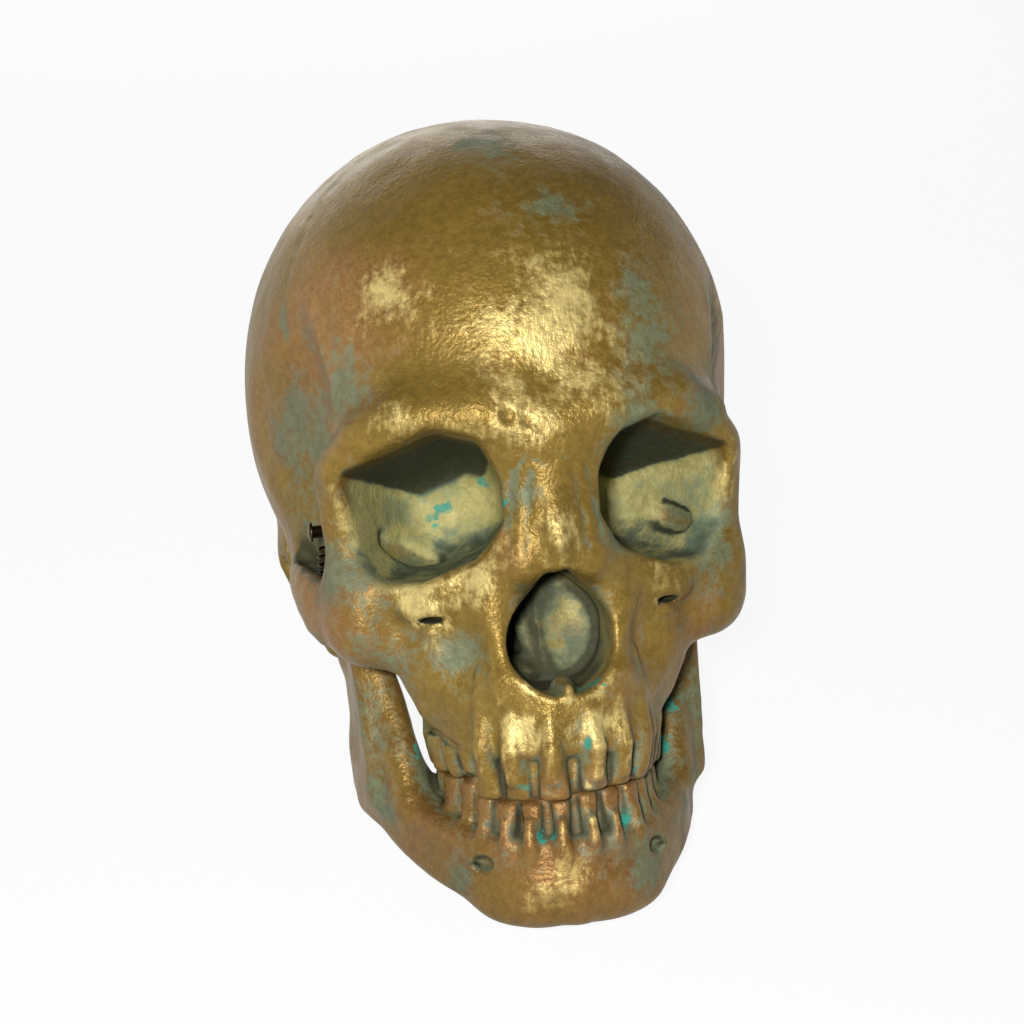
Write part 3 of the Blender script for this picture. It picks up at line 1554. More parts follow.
    def aged(self, surface: Surface, form: Field, lining: Array, under: Array) -> Surface:
        """Surface with an uneven casting skin and the values that the paint reads.

        Points move along the slope by two layers of noise less the suture grooves; the move fades
        out near the seam, the hinge and the table.

        Args:
            surface: Mesh in the skull frame.
            form: Its field.
            lining: How far each point belongs to the green lining of sockets and nose.
            under: How far each point may take the dark wash under the brow.

        Returns:
            The same mesh, moved and with values.
        """
        points = surface.points
        _, slope = slope_at(points, form)
        normals = slope / np.maximum(np.linalg.norm(slope, axis=1, keepdims=True), TINY)
        keep = np.clip(np.abs(points[:, 1] - self.seam_y) / 3.0 - 0.4, 0.0, 1.0)
        keep *= np.clip(self.stance.height(columns(points)) / 2.0 - 0.2, 0.0, 1.0)
        keep *= np.clip((self.hinge.away(columns(points)) - 10.0) / 6.0, 0.0, 1.0)
        line = self.sutures(points)
        rough = 1.0 + self.rough_gain * self.splashed(points, self.rough)
        move = self.wave_height * self.waves.at(points)
        move = move + self.lump_height * rough * self.lumps.at(points)
        move = (move - self.suture_depth * line) * keep
        patch = 1.0 + self.patch_gain * self.patches.at(points)
        roof = under * np.clip(-2.5 * (normals[:, 2] + 0.45), 0.0, 1.0)
        floor = lining * np.clip(1.3 * normals[:, 2], 0.0, 1.0)
        crevice = hollowness(points, normals, form, (1.2, 2.6))
        green = self.splashed(points, self.green) * patch
        surface.values = {
            "hollow": hollowness(points, normals, form, (5.0, 10.0, 18.0)),
            "crevice": crevice + self.roof_wash * roof + self.floor_wash * floor,
            "ridge": ridginess(points, normals, form, (1.5, 3.0)),
            "gilt": self.splashed(points, self.gilt) * patch,
            "warm": self.splashed(points, self.warm) * patch,
            "green": green + self.suture_green * line + self.floor_green * floor,
            "lining": lining,
            "dab": self.splashed(points, self.teal),
        }
        surface.points = points + normals * move[:, None]
        return surface


@dataclass(frozen=True)
class Paint:
    """A colour as it looks on a screen, from 0 to 255."""

    red: int
    green: int
    blue: int

    @property
    def linear(self) -> tuple[float, float, float, float]:
        """The colour as light.

        Returns:
            Red, green and blue light, and full cover.
        """
        share = np.array([self.red, self.green, self.blue]) / 255.0
        light = np.where(share <= 0.04045, share / 12.92, ((share + 0.055) / 1.055) ** 2.4)
        return float(light[0]), float(light[1]), float(light[2]), 1.0


@dataclass
class Canvas:
    """Short ways to add nodes to a node tree."""

    tree: Tree

    def node(self, kind: str, fed: Fed | None = None, **settings: object) -> bpy.types.Node:
        """A new node with settings.

        Args:
            kind: Type of the node.
            fed: What goes into its inputs.
            settings: Properties of the node.

        Returns:
            The node.
        """
        made = self.tree.nodes.new(kind)
        for key, value in settings.items():
            setattr(made, key, value)
        self.fill(made, fed or {})
        return made

    def fill(self, node: bpy.types.Node, fed: Fed) -> None:
        """Links inputs of a node, or sets their own values.

        Args:
            node: The node.
            fed: A socket or a value for each input, by its name or number.
        """
        for key, value in fed.items():
            if isinstance(value, Socket):
                self.tree.links.new(value, node.inputs[key])
            else:
                node.inputs[key].default_value = value

    def noise(self, place: Socket, scale: float, detail: float, rough: float) -> Socket:
        """Noise over a place: how fine it is, its layers, and the weight of the finer ones."""
        fed = {"Vector": place, "Scale": scale, "Detail": detail, "Roughness": rough}
        return self.node("ShaderNodeTexNoise", fed).outputs["Fac"]

    def sum(self, *parts: object) -> Socket:
        """Sum of sockets and numbers."""
        return self.fold("ADD", *parts)

    def product(self, *parts: object) -> Socket:
        """Product of sockets and numbers."""
        return self.fold("MULTIPLY", *parts)

    def weighed(self, *parts: tuple[Socket, float]) -> Socket:
        """Sum of sockets, each times its weight."""
        return self.sum(*(self.product(value, weight) for value, weight in parts))

    def fold(self, operation: str, *parts: object) -> Socket:
        """One operation carried through several parts.

        Args:
            operation: Name of the operation.
            parts: Sockets and numbers.

        Returns:
            The result.
        """
        total = parts[0]
        for part in parts[1:]:
            made = self.node("ShaderNodeMath", {0: total, 1: part}, operation=operation)
            total = made.outputs[0]
        return total

    def step(self, value: Socket, low: float, high: float) -> Socket:
        """Smooth step of a value.

        Args:
            value: The value.
            low: Where the step starts, at 0.
            high: Where it ends, at 1.

        Returns:
            The step.
        """
        fed = {"Value": value, "From Min": low, "From Max": high}
        made = self.node("ShaderNodeMapRange", fed, interpolation_type="SMOOTHSTEP")
        return made.outputs["Result"]

    def span(self, value: Socket, low: float, high: float) -> Socket:
        """A value from 0 to 1 spread evenly between two numbers, and held between them."""
        fed = {"Value": value, "To Min": low, "To Max": high}
        return self.node("ShaderNodeMapRange", fed).outputs["Result"]

    def mix(self, share: object, a: object, b: object, way: str = "MIX") -> Socket:
        """Two colours mixed by the share of the second, in a way of mixing."""
        fed = {"Factor": share, "A": a, "B": b}
        return self.node("ShaderNodeMix", fed, data_type="RGBA", blend_type=way).outputs["Result"]

    def drawn(self, place: Socket, scale: Point) -> Socket:
        """Coordinates stretched along each axis."""
        return self.node("ShaderNodeMapping", {"Vector": place, "Scale": scale}).outputs["Vector"]

    def bump(self, height: Socket, strength: float, depth: float) -> Socket:
        """Normal of a surface that a height lifts."""
        fed = {"Strength": strength, "Distance": depth, "Height": height}
        return self.node("ShaderNodeBump", fed).outputs["Normal"]


def new_finish(name: str) -> tuple[Finish, Canvas, bpy.types.Node]:
    """New material to paint.

    Args:
        name: Its name.

    Returns:
        The material, its canvas and its shader.
    """
    made = bpy.data.materials.new(name)
    made.use_nodes = True
    return made, Canvas(made.node_tree), made.node_tree.nodes["Principled BSDF"]


def new_group(name: str, inputs: Sockets, outputs: Sockets) -> Tree:
    """Empty node group with named sockets.

    Args:
        name: Group name.
        inputs: Name and kind of each input.
        outputs: Name and kind of each output.

    Returns:
        The group.
    """
    tree = bpy.data.node_groups.new(name, "ShaderNodeTree")
    for way, sockets in (("INPUT", inputs), ("OUTPUT", outputs)):
        for label, kind in sockets:
            tree.interface.new_socket(label, in_out=way, socket_type=f"NodeSocket{kind}")
    return tree


PATINA_COLOURS = ("Bronze", "Copper", "Gold", "Wash", "Verdigris", "Inner", "Teal")
PATINA_MASKS = ("Hollow", "Crevice", "Ridge", "Gilt", "Warm", "Green", "Lining", "Dab")
STROKE_SCALE = (1.0, 0.5, 0.16)
TURNED_SCALE = (6.0, 1.0, 1.0)


def patina_group() -> Tree:
    """Shared paint effect: bronze and copper, brushed gold, grey-green veils, dark wash and dabs.

    Gold lies where the surface stands out or is brushed and a drawn-out noise runs high, the veil
    and the wash lie where it is shut in, and teal where narrow creases meet a high noise.

    Returns:
        The node group.
    """
    inputs = [(n, "Color") for n in PATINA_COLOURS] + [(n, "Float") for n in PATINA_MASKS]
    results = [(n, "Float") for n in ("Metallic", "Roughness", "Height")]
    tree = new_group("patina", inputs, [("Color", "Color"), *results])
    c = Canvas(tree)
    given = c.node("NodeGroupInput").outputs
    place = c.node("ShaderNodeTexCoord").outputs["Object"]
    mottle, fleck = c.noise(place, 110.0, 5.0, 0.65), c.noise(place, 420.0, 4.0, 0.7)
    stipple = c.noise(place, 1000.0, 2.0, 0.5)
    grain = c.weighed((stipple, 0.9), (fleck, 0.55), (mottle, 0.3))
    clouds = c.step(c.noise(place, 24.0, 3.0, 0.55), 0.3, 0.7)
    mottle, fleck = c.step(mottle, 0.32, 0.68), c.step(fleck, 0.32, 0.68)
    strokes = c.noise(c.drawn(place, STROKE_SCALE), 620.0, 3.0, 0.6)
    strokes = c.step(strokes, 0.3, 0.7)
    hollow, crevice = given["Hollow"], given["Crevice"]
    lining, green = given["Lining"], given["Green"]
    warm = c.weighed((clouds, 0.35), (mottle, 0.25), (given["Warm"], 0.5))
    colour = c.mix(c.step(warm, 0.3, 0.75), given["Bronze"], given["Copper"])
    gold = c.weighed((given["Gilt"], 0.55), (given["Ridge"], 0.8), (strokes, 0.2))
    gold = c.sum(gold, c.weighed((mottle, 0.22), (fleck, 0.16), (hollow, -0.8), (crevice, -0.6)))
    gold = c.step(gold, 0.48, 0.95)
    colour = c.mix(gold, colour, given["Gold"])
    veil = c.weighed((hollow, 0.8), (mottle, 0.28), (fleck, 0.32), (clouds, 0.2))
    veil = c.sum(veil, c.weighed((green, 0.6), (gold, -0.25)))
    veil = c.step(veil, 0.55, 1.02)
    colour = c.mix(c.product(veil, 0.72), colour, given["Verdigris"])
    tint = c.weighed((mottle, 0.5), (clouds, 0.4), (fleck, 0.2), (crevice, 0.8), (green, 0.5))
    inner = c.mix(c.step(tint, 0.6, 1.25), given["Inner"], given["Verdigris"])
    colour = c.mix(c.product(lining, 0.94), colour, inner)
    wash = c.weighed((hollow, 0.3), (crevice, 0.9), (mottle, 0.2), (fleck, 0.12))
    wash = c.step(wash, 0.5, 1.0)
    colour = c.mix(c.product(wash, 0.82), colour, given["Wash"])
    dab = c.weighed((given["Dab"], 0.8), (crevice, 0.16), (mottle, 0.6), (fleck, 0.45))
    dab = c.step(dab, 1.06, 1.3)
    colour = c.mix(c.product(dab, 0.85), colour, given["Teal"])
    tone = c.product(c.span(fleck, 0.84, 1.16), c.span(clouds, 0.88, 1.12))
    shade = c.node("ShaderNodeCombineColor", dict.fromkeys(range(3), tone))
    colour = c.mix(1.0, colour, shade.outputs["Color"], "MULTIPLY")
    dull = c.weighed((veil, 0.55), (wash, 0.5), (dab, 0.8), (lining, 0.7))
    c.node("NodeGroupOutput", {
        "Color": colour,
        "Metallic": c.span(dull, 0.35, 0.0),
        "Roughness": c.sum(0.38, c.product(mottle, 0.1), c.product(dull, 0.25)),
        "Height": c.sum(grain, c.product(strokes, gold, 0.25)),
    })
    return tree


def metal_group() -> Tree:
    """Shared hardware effect: dull patches and fine drawn lines on plated steel.

    Returns:
        The node group.
    """
    tree = new_group(
        "worn_metal",
        [("Bright", "Color"), ("Dull", "Color"), ("Lines", "Float")],
        [("Color", "Color"), ("Roughness", "Float"), ("Height", "Float")],
    )
    c = Canvas(tree)
    given = c.node("NodeGroupInput").outputs
    place = c.node("ShaderNodeTexCoord").outputs["Object"]
    patch = c.noise(place, 350.0, 4.0, 0.6)
    lines = c.noise(c.drawn(place, TURNED_SCALE), 900.0, 2.0, 0.6)
    c.node("NodeGroupOutput", {
        "Color": c.mix(c.step(patch, 0.4, 0.7), given["Bright"], given["Dull"]),
        "Roughness": c.sum(0.2, c.product(patch, 0.3)),
        "Height": c.product(lines, given["Lines"]),
    })
    return tree


@dataclass(frozen=True)
class AgedBronze:
    """Cast resin painted as aged bronze."""

    name: str
    bronze: Paint
    copper: Paint
    gold: Paint
    wash: Paint = Paint(46, 40, 20)
    verdigris: Paint = Paint(104, 122, 100)
    inner: Paint = Paint(174, 166, 108)
    teal: Paint = Paint(44, 140, 124)
    gloss: float = 0.22
    bump: float = 0.48
    bump_depth: float = 0.0006

    def material(self, group: Tree) -> Finish:
        """Paint with the patina effect in this finish's colours.

        Args:
            group: The shared patina effect.

        Returns:
            The material.
        """
        made, c, shader = new_finish(self.name)
        effect = c.node("ShaderNodeGroup", node_tree=group)
        c.fill(effect, {label: getattr(self, label.lower()).linear for label in PATINA_COLOURS})
        for label in PATINA_MASKS:
            value = c.node("ShaderNodeAttribute", attribute_name=label.lower())
            c.fill(effect, {label: value.outputs["Fac"]})
        c.fill(shader, {
            "Specular IOR Level": self.gloss,
            "Base Color": effect.outputs["Color"],
            "Metallic": effect.outputs["Metallic"],
            "Roughness": effect.outputs["Roughness"],
            "Normal": c.bump(effect.outputs["Height"], self.bump, self.bump_depth),
        })
        return made


@dataclass(frozen=True)
class PlatedSteel:
    """Steel hardware with plating or drawn wire."""

    name: str
    bright: Paint
    dull: Paint
    lines: float
    bump: float = 0.25
    bump_depth: float = 0.0002

    def material(self, group: Tree) -> Finish:
        """Metal with the shared hardware effect in this finish's colours.

        Args:
            group: The shared hardware effect.

        Returns:
            The material.
        """
        made, c, shader = new_finish(self.name)
        fed = {"Bright": self.bright.linear, "Dull": self.dull.linear, "Lines": self.lines}
        effect = c.node("ShaderNodeGroup", fed, node_tree=group)
        c.fill(shader, {
            "Base Color": effect.outputs["Color"],
            "Metallic": 1.0,
            "Roughness": effect.outputs["Roughness"],
            "Normal": c.bump(effect.outputs["Height"], self.bump, self.bump_depth),
        })
        return made


@dataclass(frozen=True)
class PaleFloor:
    """Pale table that looks white, keeps a soft shadow and throws little light back."""

    name: str = "pale_floor"
    cover: float = 0.92
    seen: float = 0.9
    seen_pale: float = 0.94
    thrown: float = 0.12
    roughness: float = 0.8

    def material(self) -> Finish:
        """White to the camera and in reflections, and grey to other light.

        Returns:
            The material.
        """
        made, c, shader = new_finish(self.name)
        path = c.node("ShaderNodeLightPath").outputs
        rays = ("Is Camera Ray", "Is Glossy Ray", "Is Transmission Ray")
        shown = c.fold("MAXIMUM", *(path[ray] for ray in rays))
        grey, white, pale = ((v,) * 3 + (1.0,) for v in (self.thrown, self.seen, self.seen_pale))
        place = c.node("ShaderNodeTexCoord").outputs["Object"]
        cloud = c.mix(c.noise(place, 4.0, 2.0, 0.5), white, pale)
        c.fill(shader, {"Base Color": c.mix(shown, grey, cloud), "Roughness": self.roughness})
        glow = c.node("ShaderNodeEmission").outputs["Emission"]
        fed = {"Fac": c.product(shown, self.cover), 1: shader.outputs["BSDF"], 2: glow}
        mixer = c.node("ShaderNodeMixShader", fed)
        c.fill(made.node_tree.nodes["Material Output"], {"Surface": mixer.outputs["Shader"]})
        return made


@dataclass(frozen=True)
class Hardware:
    """Hinge screws, washers, spring pins and springs on both sides."""

    stance: Stance
    hinge: Hinge
    spring_x: float = 52.0
    spring_low: tuple[float, float] = (-40.5, -11.0)
    spring_span: float = 27.0
    spring_diameter: float = 5.0
    wire: float = 0.9
    curls: int = 8
    curl_points: int = 26
    curl_start: float = 0.35
    curl_ease: float = 1.6
    hook_points: int = 40
    wire_points: int = 700
    wire_sides: int = 10
    hook_gap: float = 0.08
    hook_room: float = 3.0
    hook_neck: float = 1.6
    pin_diameter: float = 3.2
    pin_head: float = 5.2
    pin_head_height: float = 1.2
    pin_lower_root: float = 44.24
    pin_upper_root: float = 39.46
    pin_overhang: float = 1.0
    key_reach: float = 2.3
    chamfer: float = 0.7
    sides: int = 48

    def turned(self, rings: Array, y: float, z: float, side: Side) -> Surface:
        """Piece turned about a line along x, its rings round, or six-sided where a share says.

        At an angle a, a ring of radius r and hexagon share h reaches r times one plus h times the
        ratio of a hexagon's reach to a circle's less one.

        Args:
            rings: Rows of x, radius and hexagon share, from one end to the other.
            y: Place of the line.
            z: Place of the line.
            side: Side of the skull.

        Returns:
            The surface, in the skull frame.
        """
        angle = np.arange(self.sides) * 2.0 * math.pi / self.sides
        flat = math.cos(math.pi / 6.0) / np.cos(np.mod(angle, math.pi / 3.0) - math.pi / 6.0)
        reach = rings[:, 1, None] * (1.0 + rings[:, 2, None] * (flat - 1.0))
        x = np.repeat(rings[:, :1], self.sides, axis=1) * side.value
        points = np.stack([x, y + reach * np.cos(angle), z + reach * np.sin(angle)], axis=2)
        return Surface(points.reshape(-1, 3), tube_faces(len(rings), self.sides, side.value < 0))

    def screw(self, side: Side) -> Surface:
        """Hinge screw: shank with a chamfer, a rounded head and a six-sided key hole.

        Args:
            side: Side of the skull.

        Returns:
            The surface, in the skull frame.
        """
        h = self.hinge
        r, head, under = h.screw_diameter / 2.0, h.head_diameter / 2.0, h.lug_outer + h.gap
        start, top = h.condyle_end - h.grip, h.lug_outer + h.gap + h.head_height
        key, edge = self.key_reach, self.chamfer
        rings = [
            (start, TINY, 0), (start, r - edge, 0), (start + edge, r, 0), (under - 0.02, r, 0),
            (under, r, 0), (under, r + 0.05, 0), (under, head - 0.2, 0), (under + 0.2, head, 0),
            (top - edge, head, 0), (top - 0.35, head - 0.1, 0), (top - 0.1, head - 0.35, 0),
            (top, head - edge, 0), (top, key + 0.25, 0.7), (top - 0.15, key, 1),
            (top - 1.3, key, 1), (top - 1.5, key - 0.3, 1), (top - 1.7, TINY, 0),
        ]
        return self.turned(np.array(rings), h.y, h.z, side)

    def washer(self, side: Side) -> Surface:
        """Washer: a ring with softened edges.

        Args:
            side: Side of the skull.

        Returns:
            The surface, in the skull frame.
        """
        h = self.hinge
        inner, outer = h.screw_diameter / 2.0 + h.gap, h.washer_diameter / 2.0
        low, soft = h.condyle_end + h.gap, 0.15
        high = low + h.washer_thick
        rings = [
            (low, inner + soft, 0), (low, outer - soft, 0), (low + soft, outer, 0),
            (high - soft, outer, 0), (high, outer - soft, 0), (high, inner + soft, 0),
            (high - soft, inner, 0), (low + soft, inner, 0), (low, inner + soft, 0),
        ]
        return self.turned(np.array(rings), h.y, h.z, side)

    def pin(self, side: Side, upper: bool) -> Surface:
        """Spring pin: a shank into the bone and a domed head outside the spring.

        Args:
            side: Side of the skull.
            upper: Whether it is the pin in the temple.

        Returns:
            The surface, in the skull frame.
        """
        y, z = self.spring_low
        c, s = self.stance.turn
        if upper:
            y, z = y - self.spring_span * s, z + self.spring_span * c
        root = self.pin_upper_root if upper else self.pin_lower_root
        r, head = self.pin_diameter / 2.0, self.pin_head / 2.0
        under = self.spring_x + self.spring_diameter / 2.0 + self.pin_overhang
        top = under + self.pin_head_height
        rings = [
            (root, TINY, 0), (root, r - 0.3, 0), (root + 0.3, r, 0), (under - 0.3, r, 0),
            (under, r + 0.25, 0), (under, head - 0.15, 0), (under + 0.15, head, 0),
            (under + 0.45, head, 0), (top - 0.35, head * 0.86, 0), (top - 0.1, head * 0.55, 0),
            (top, head * 0.25, 0), (top, TINY, 0),
        ]
        return self.turned(np.array(rings), y, z, side)

    def spring(self, side: Side) -> Surface:
        """Tension spring: a hook round each pin and close curls between, as one round wire.

        The wire's middle line is a three-quarter ring about the lower pin, a helix that rises with
        its angle, and a three-quarter ring about the upper pin.

        Args:
            side: Side of the skull.

        Returns:
            The surface, in the skull frame.
        """
        c, s = self.stance.turn
        up, ahead = np.array([0.0, -s, c]), np.array([0.0, -c, -s])
        across = np.array([float(side.value), 0.0, 0.0])
        foot = np.array([self.spring_x * side.value, *self.spring_low])
        hook = self.pin_diameter / 2.0 + self.wire / 2.0 + self.hook_gap
        radius = (self.spring_diameter - self.wire) / 2.0
        low, high = hook + self.hook_neck, self.spring_span - hook - self.hook_neck
        bend = np.linspace(-0.5, 1.0, self.hook_points)[:, None] * math.pi
        lower = foot + hook * (np.cos(bend) * ahead - np.sin(bend) * up)
        turn = np.linspace(0.0, 1.0, self.curls * self.curl_points)[:, None]
        turn = turn * 2.0 * math.pi * self.curls
        rise = low + (high - low) * turn / (2.0 * math.pi * self.curls)
        ease = np.clip(np.minimum(turn, turn[::-1]) / self.curl_ease, 0.0, 1.0)
        ease = self.curl_start + (1.0 - self.curl_start) * ease
        out = across * np.sin(turn) - ahead * np.cos(turn)
        coil = foot + up * rise + out * radius * ease
        back = bend[::-1]
        upper = foot + up * self.spring_span + hook * (np.cos(back) * ahead + np.sin(back) * up)
        path = np.concatenate([lower, coil, upper])
        return tube(smooth_path(path, self.wire_points), self.wire / 2.0, self.wire_sides)


def smooth_path(path: Array, count: int, rounds: int = 6) -> Array:
    """Path at equal steps along its length, with its corners eased by a moving mean.

    Args:
        path: Points in order.
        count: Points of the new path.
        rounds: How often the mean is taken.

    Returns:
        The new path.
    """
    walked = np.append(0.0, np.cumsum(np.linalg.norm(np.diff(path, axis=0), axis=1)))
    even = np.linspace(0.0, walked[-1], count)
    made = np.stack([np.interp(even, walked, c) for c in path.T], axis=1)
    for _ in range(rounds):
        made[1:-1] = (made[:-2] + 2.0 * made[1:-1] + made[2:]) / 4.0
    return made


def tube(path: Array, radius: float, sides: int) -> Surface:
    """Round wire along a path, its ends rounded in.

    Each ring lies square to the path on a frame that turns as little as it can: the first normal
    is carried along by taking off its share along the path.

    Args:
        path: Middle line.
        radius: Radius of the wire.
        sides: Points round it.

    Returns:
        The surface.
    """
    ahead = np.gradient(path, axis=0)
    ahead /= np.linalg.norm(ahead, axis=1, keepdims=True)
    normal = np.empty_like(path)
    carried = np.cross(ahead[0], (0.0, 1.0, 0.3))
    for n, direction in enumerate(ahead):
        carried = carried - direction * (carried @ direction)
        carried = carried / np.linalg.norm(carried)
        normal[n] = carried
    other = np.cross(ahead, normal)
    angle = np.arange(sides) * 2.0 * math.pi / sides
    reach = np.full(len(path), radius)
    reach[[0, -1]] = TINY
    reach[[1, -2]] = radius * 0.75
    level, upright = np.cos(angle)[None, :, None], np.sin(angle)[None, :, None]
    ring = level * normal[:, None] + upright * other[:, None]
    points = path[:, None] + ring * reach[:, None, None]
    return Surface(points.reshape(-1, 3), tube_faces(len(path), sides, True))


def tube_faces(rings: int, sides: int, flip: bool) -> Index:
    """Faces between rings of equally many points, wound outwards or, if flipped, the other way.

    Args:
        rings: Number of rings.
        sides: Points of a ring.
        flip: Whether the winding turns round.

    Returns:
        The faces.
    """
    a = np.arange((rings - 1) * sides).reshape(rings - 1, sides)
    b = np.roll(a, -1, axis=1)
    faces = np.stack([a, a + sides, b + sides, b], axis=2).reshape(-1, 4)
    return faces[:, ::-1] if flip else faces


def heading(azimuth: float, elevation: float) -> Array:
    """Direction out from the skull at an azimuth and an elevation in degrees."""
    a, e = math.radians(azimuth), math.radians(elevation)
    return np.array([math.sin(a) * math.cos(e), -math.cos(a) * math.cos(e), math.sin(e)])


def stand(name: str, data: bpy.types.ID, places: Sequence[Array]) -> Thing:
    """Object for a camera or a lamp.

    Args:
        name: Its name.
        data: The camera or lamp.
        places: Its three axes and its spot.

    Returns:
        The object.
    """
    thing = bpy.data.objects.new(name, data)
    world = np.eye(4)
    world[:3] = np.stack(places, axis=1)
    thing.matrix_world = Matrix(world.tolist())
    bpy.context.scene.collection.objects.link(thing)
    return thing


@dataclass(frozen=True)
class PhotoCamera:
    """Camera at the photograph's place: turns about the skull, distance and focal length."""

    stance: Stance
    azimuth: float = -9.57
    elevation: float = 3.5
    roll: float = -4.14
    distance: float = 570.0
    focal_pixels: float = 1962.0
    across: float = 5.18
    rise: float = 11.3
    frame_pixels: float = 1024.0
    sensor: float = 36.0

    def axes(self) -> Array:
        """Rows of the view's right, up and forward directions in the skull frame.

        Returns:
            Three rows.
        """
        back, roll = heading(self.azimuth, self.elevation), math.radians(self.roll)
        right = np.cross(-back, (0.0, 0.0, 1.0))
        right = right / np.linalg.norm(right)
        up = np.cross(right, -back)
        c, s = math.cos(roll), math.sin(roll)
        return np.stack([c * right + s * up, c * up - s * right, -back])

    def build(self) -> None:
        """Adds the camera to the scene."""
        axes = self.axes()
        spot = axes.T @ np.array([self.across, self.rise, -self.distance])
        spot = self.stance.to_part(spot[None])[0]
        right, up, ahead = self.stance.directions(axes)
        data = bpy.data.cameras.new("photo_camera")
        data.sensor_width = self.sensor
        data.lens = self.sensor * self.focal_pixels / self.frame_pixels
        data.clip_start, data.clip_end = 0.01, 20.0
        bpy.context.scene.camera = stand("photo_camera", data, (right, up, -ahead, spot))


@dataclass(frozen=True)
class Lamp:
    """A square soft lamp aimed at the skull."""

    name: str
    azimuth: float
    elevation: float
    distance: float
    size: float
    power: float
    aim: Point = (0.0, -0.04, 0.09)

    def build(self) -> None:
        """Adds the lamp to the scene."""
        data = bpy.data.lights.new(self.name, "AREA")
        data.energy, data.size = self.power, self.size
        back = heading(self.azimuth, self.elevation)
        side = np.cross((0.0, 0.0, 1.0), back)
        side = side / np.linalg.norm(side)
        spot = np.array(self.aim) + back * self.distance
        stand(self.name, data, (side, np.cross(back, side), back, spot))


@dataclass(frozen=True)
class Studio:
    """Pale floor, soft lamps and an even room light."""

    lamps: tuple[Lamp, ...] = (
        Lamp("key_lamp", -18.0, 33.0, 0.66, 0.06, 5.0),
        Lamp("right_lamp", -105.0, 12.0, 1.0, 0.7, 1.6),
        Lamp("left_lamp", 110.0, 10.0, 1.0, 0.7, 0.5),
        Lamp("rear_lamp", 180.0, 5.0, 1.0, 0.8, 3.6),
    )
    room: float = 0.03
    reach: float = 4.2
    level: float = 2.6
    rise: float = 1.3
    rings: int = 43
    sides: int = 64

    def floor(self) -> Surface:
        """Round floor that stays level near the skull and curves up far away, as a shallow dish.

        Past the level part the height grows with the square of the way to the edge.

        Returns:
            The surface, in metres.
        """
        away = np.linspace(TINY, self.reach, self.rings)
        angle = np.arange(self.sides) * 2.0 * math.pi / self.sides
        high = self.rise * np.clip((away - self.level) / (self.reach - self.level), 0.0, 1.0) ** 2
        points = np.stack(np.broadcast_arrays(
            away[:, None] * np.cos(angle), away[:, None] * np.sin(angle), high[:, None],
        ), axis=2)
        return Surface(points.reshape(-1, 3), tube_faces(self.rings, self.sides, False))

    def build(self) -> None:
        """Adds floor, lamps and room light."""
        dish = self.floor()
        dish.make("floor", dish.points, PaleFloor().material())
        for lamp in self.lamps:
            lamp.build()
        world = bpy.data.worlds.new("room_light")
        world.use_nodes = True
        sky = world.node_tree.nodes["Background"]
        sky.inputs["Color"].default_value = (1.0, 1.0, 1.0, 1.0)
        sky.inputs["Strength"].default_value = self.room
        bpy.context.scene.world = world
        bpy.context.scene.view_settings.view_transform = "Standard"


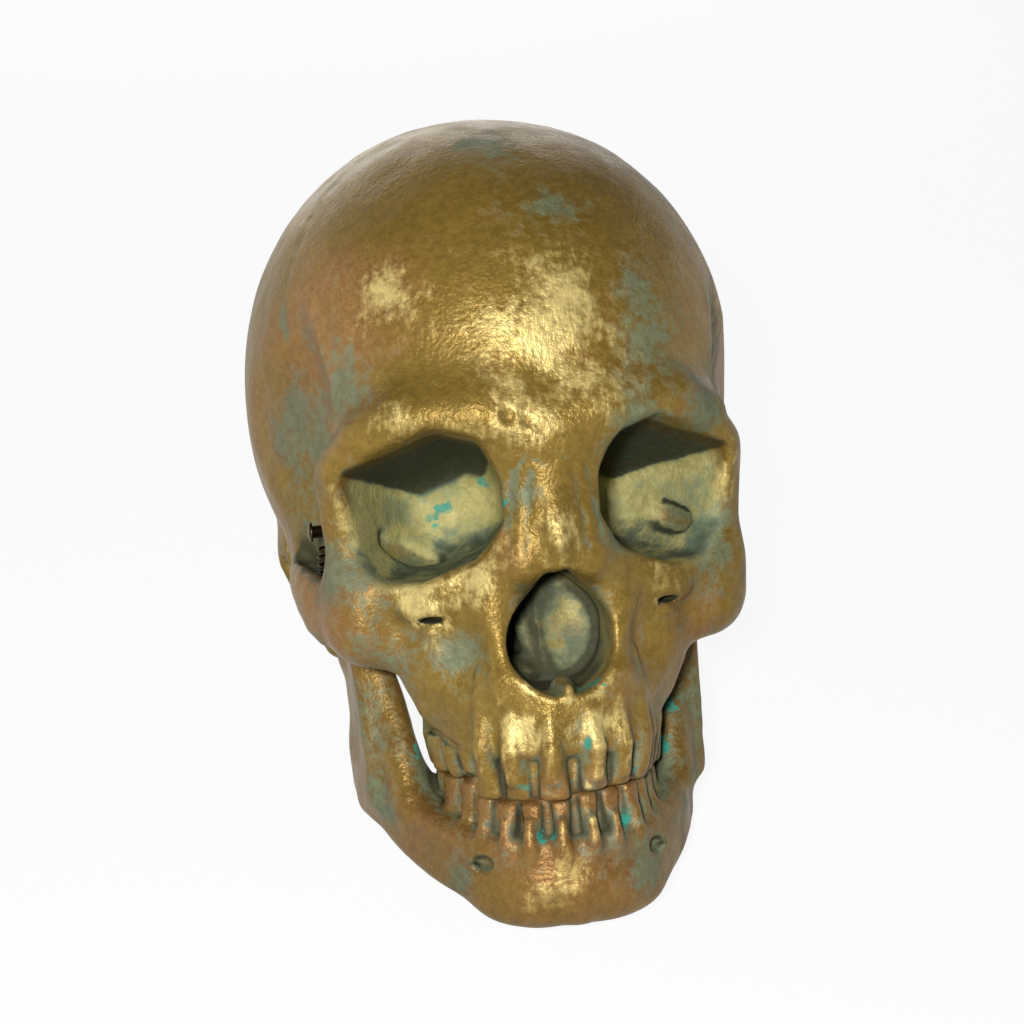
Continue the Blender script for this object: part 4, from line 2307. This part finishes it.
@dataclass(frozen=True)
class Dresser:
    """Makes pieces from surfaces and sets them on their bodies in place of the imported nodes."""

    stance: Stance

    def piece(self, node: str, surface: Surface, finish: Finish) -> Thing:
        """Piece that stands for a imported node.

        Args:
            node: Name of the node.
            surface: Its surface, in the skull frame.
            finish: Its material.

        Returns:
            The object.
        """
        thing = surface.make(f"{node}_skin", self.stance.to_part(surface.points), finish)
        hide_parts(node)
        LOG.info("%s: %d faces of four corners", thing.name, len(surface.faces))
        return thing

    def riding(self, node: str, surface: Surface, finish: Finish, slot: Slot, body: Body) -> None:
        """Piece that rides on one body."""
        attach(self.piece(node, surface, finish), body.value)

    def bending(self, node: str, surface: Surface, finish: Finish, tips: Sequence[Array]) -> None:
        """Piece that stretches between the cranium and the jaw.

        Args:
            node: Name of the node.
            surface: Its surface, in the skull frame.
            finish: Its material.
            tips: Its end on the cranium and its end on the jaw.
        """
        thing = self.piece(node, surface, finish)
        ends = self.stance.to_part(np.stack(tips))
        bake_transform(thing)


def main() -> None:
    """Builds the skull, its hardware, the studio and the camera."""
    logging.basicConfig(level=logging.INFO, format="%(message)s")
    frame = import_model()
    hinge_joint = next(j for j in frame["joints"] if j["name"] == "jaw_hinge")
    stance = Stance(joint=tuple(hinge_joint["pos_m"]))
    PhotoCamera(stance).build()
    Studio().build()
    patina, worn = patina_group(), metal_group()
    gold_bronze = AgedBronze(
        "gold_bronze", Paint(136, 110, 48), Paint(144, 106, 56), Paint(206, 184, 116),
    ).material(patina)
    copper_bronze = AgedBronze(
        "copper_bronze", Paint(130, 102, 48), Paint(138, 100, 54), Paint(196, 170, 102),
    ).material(patina)
    zinc = PlatedSteel("bronzed_zinc", Paint(92, 76, 46), Paint(62, 50, 30), 0.4).material(worn)
    wire = PlatedSteel("bronzed_wire", Paint(76, 62, 38), Paint(46, 38, 24), 1.0).material(worn)
    dresser, hinge = Dresser(stance), Hinge()
    jaw = LowerJaw(stance, hinge)
    cranium = Cranium(stance, jaw, hinge)
    for half in Half:
        shell = cranium.surface(half)
        node = f"{half.value}_shell"
        dresser.riding(node, shell, gold_bronze, Slot.CRANIUM_PAINT, Body.CRANIUM)
    dresser.riding("lower_jaw", jaw.surface(), copper_bronze, Slot.JAW_PAINT, Body.JAW)
    hardware = Hardware(stance, hinge)
    c, s = stance.turn
    rise = np.array([0.0, -s, c])
    for side in Side:
        for name, surface, body in (
            ("hinge_screw", hardware.screw(side), Body.CRANIUM),
            ("hinge_washer", hardware.washer(side), Body.CRANIUM),
            ("spring_pin_upper", hardware.pin(side, True), Body.CRANIUM),
            ("spring_pin_lower", hardware.pin(side, False), Body.JAW),
        ):
            dresser.riding(f"{name}_{side.word}", surface, zinc, Slot.ZINC, body)
        foot = np.array([hardware.spring_x * side.value, *hardware.spring_low])
        room = hardware.hook_room
        tips = (foot + rise * (hardware.spring_span - room), foot + rise * room)
        dresser.bending(f"jaw_spring_{side.word}", hardware.spring(side), wire, tips)


if __name__ == "__main__":
    main()
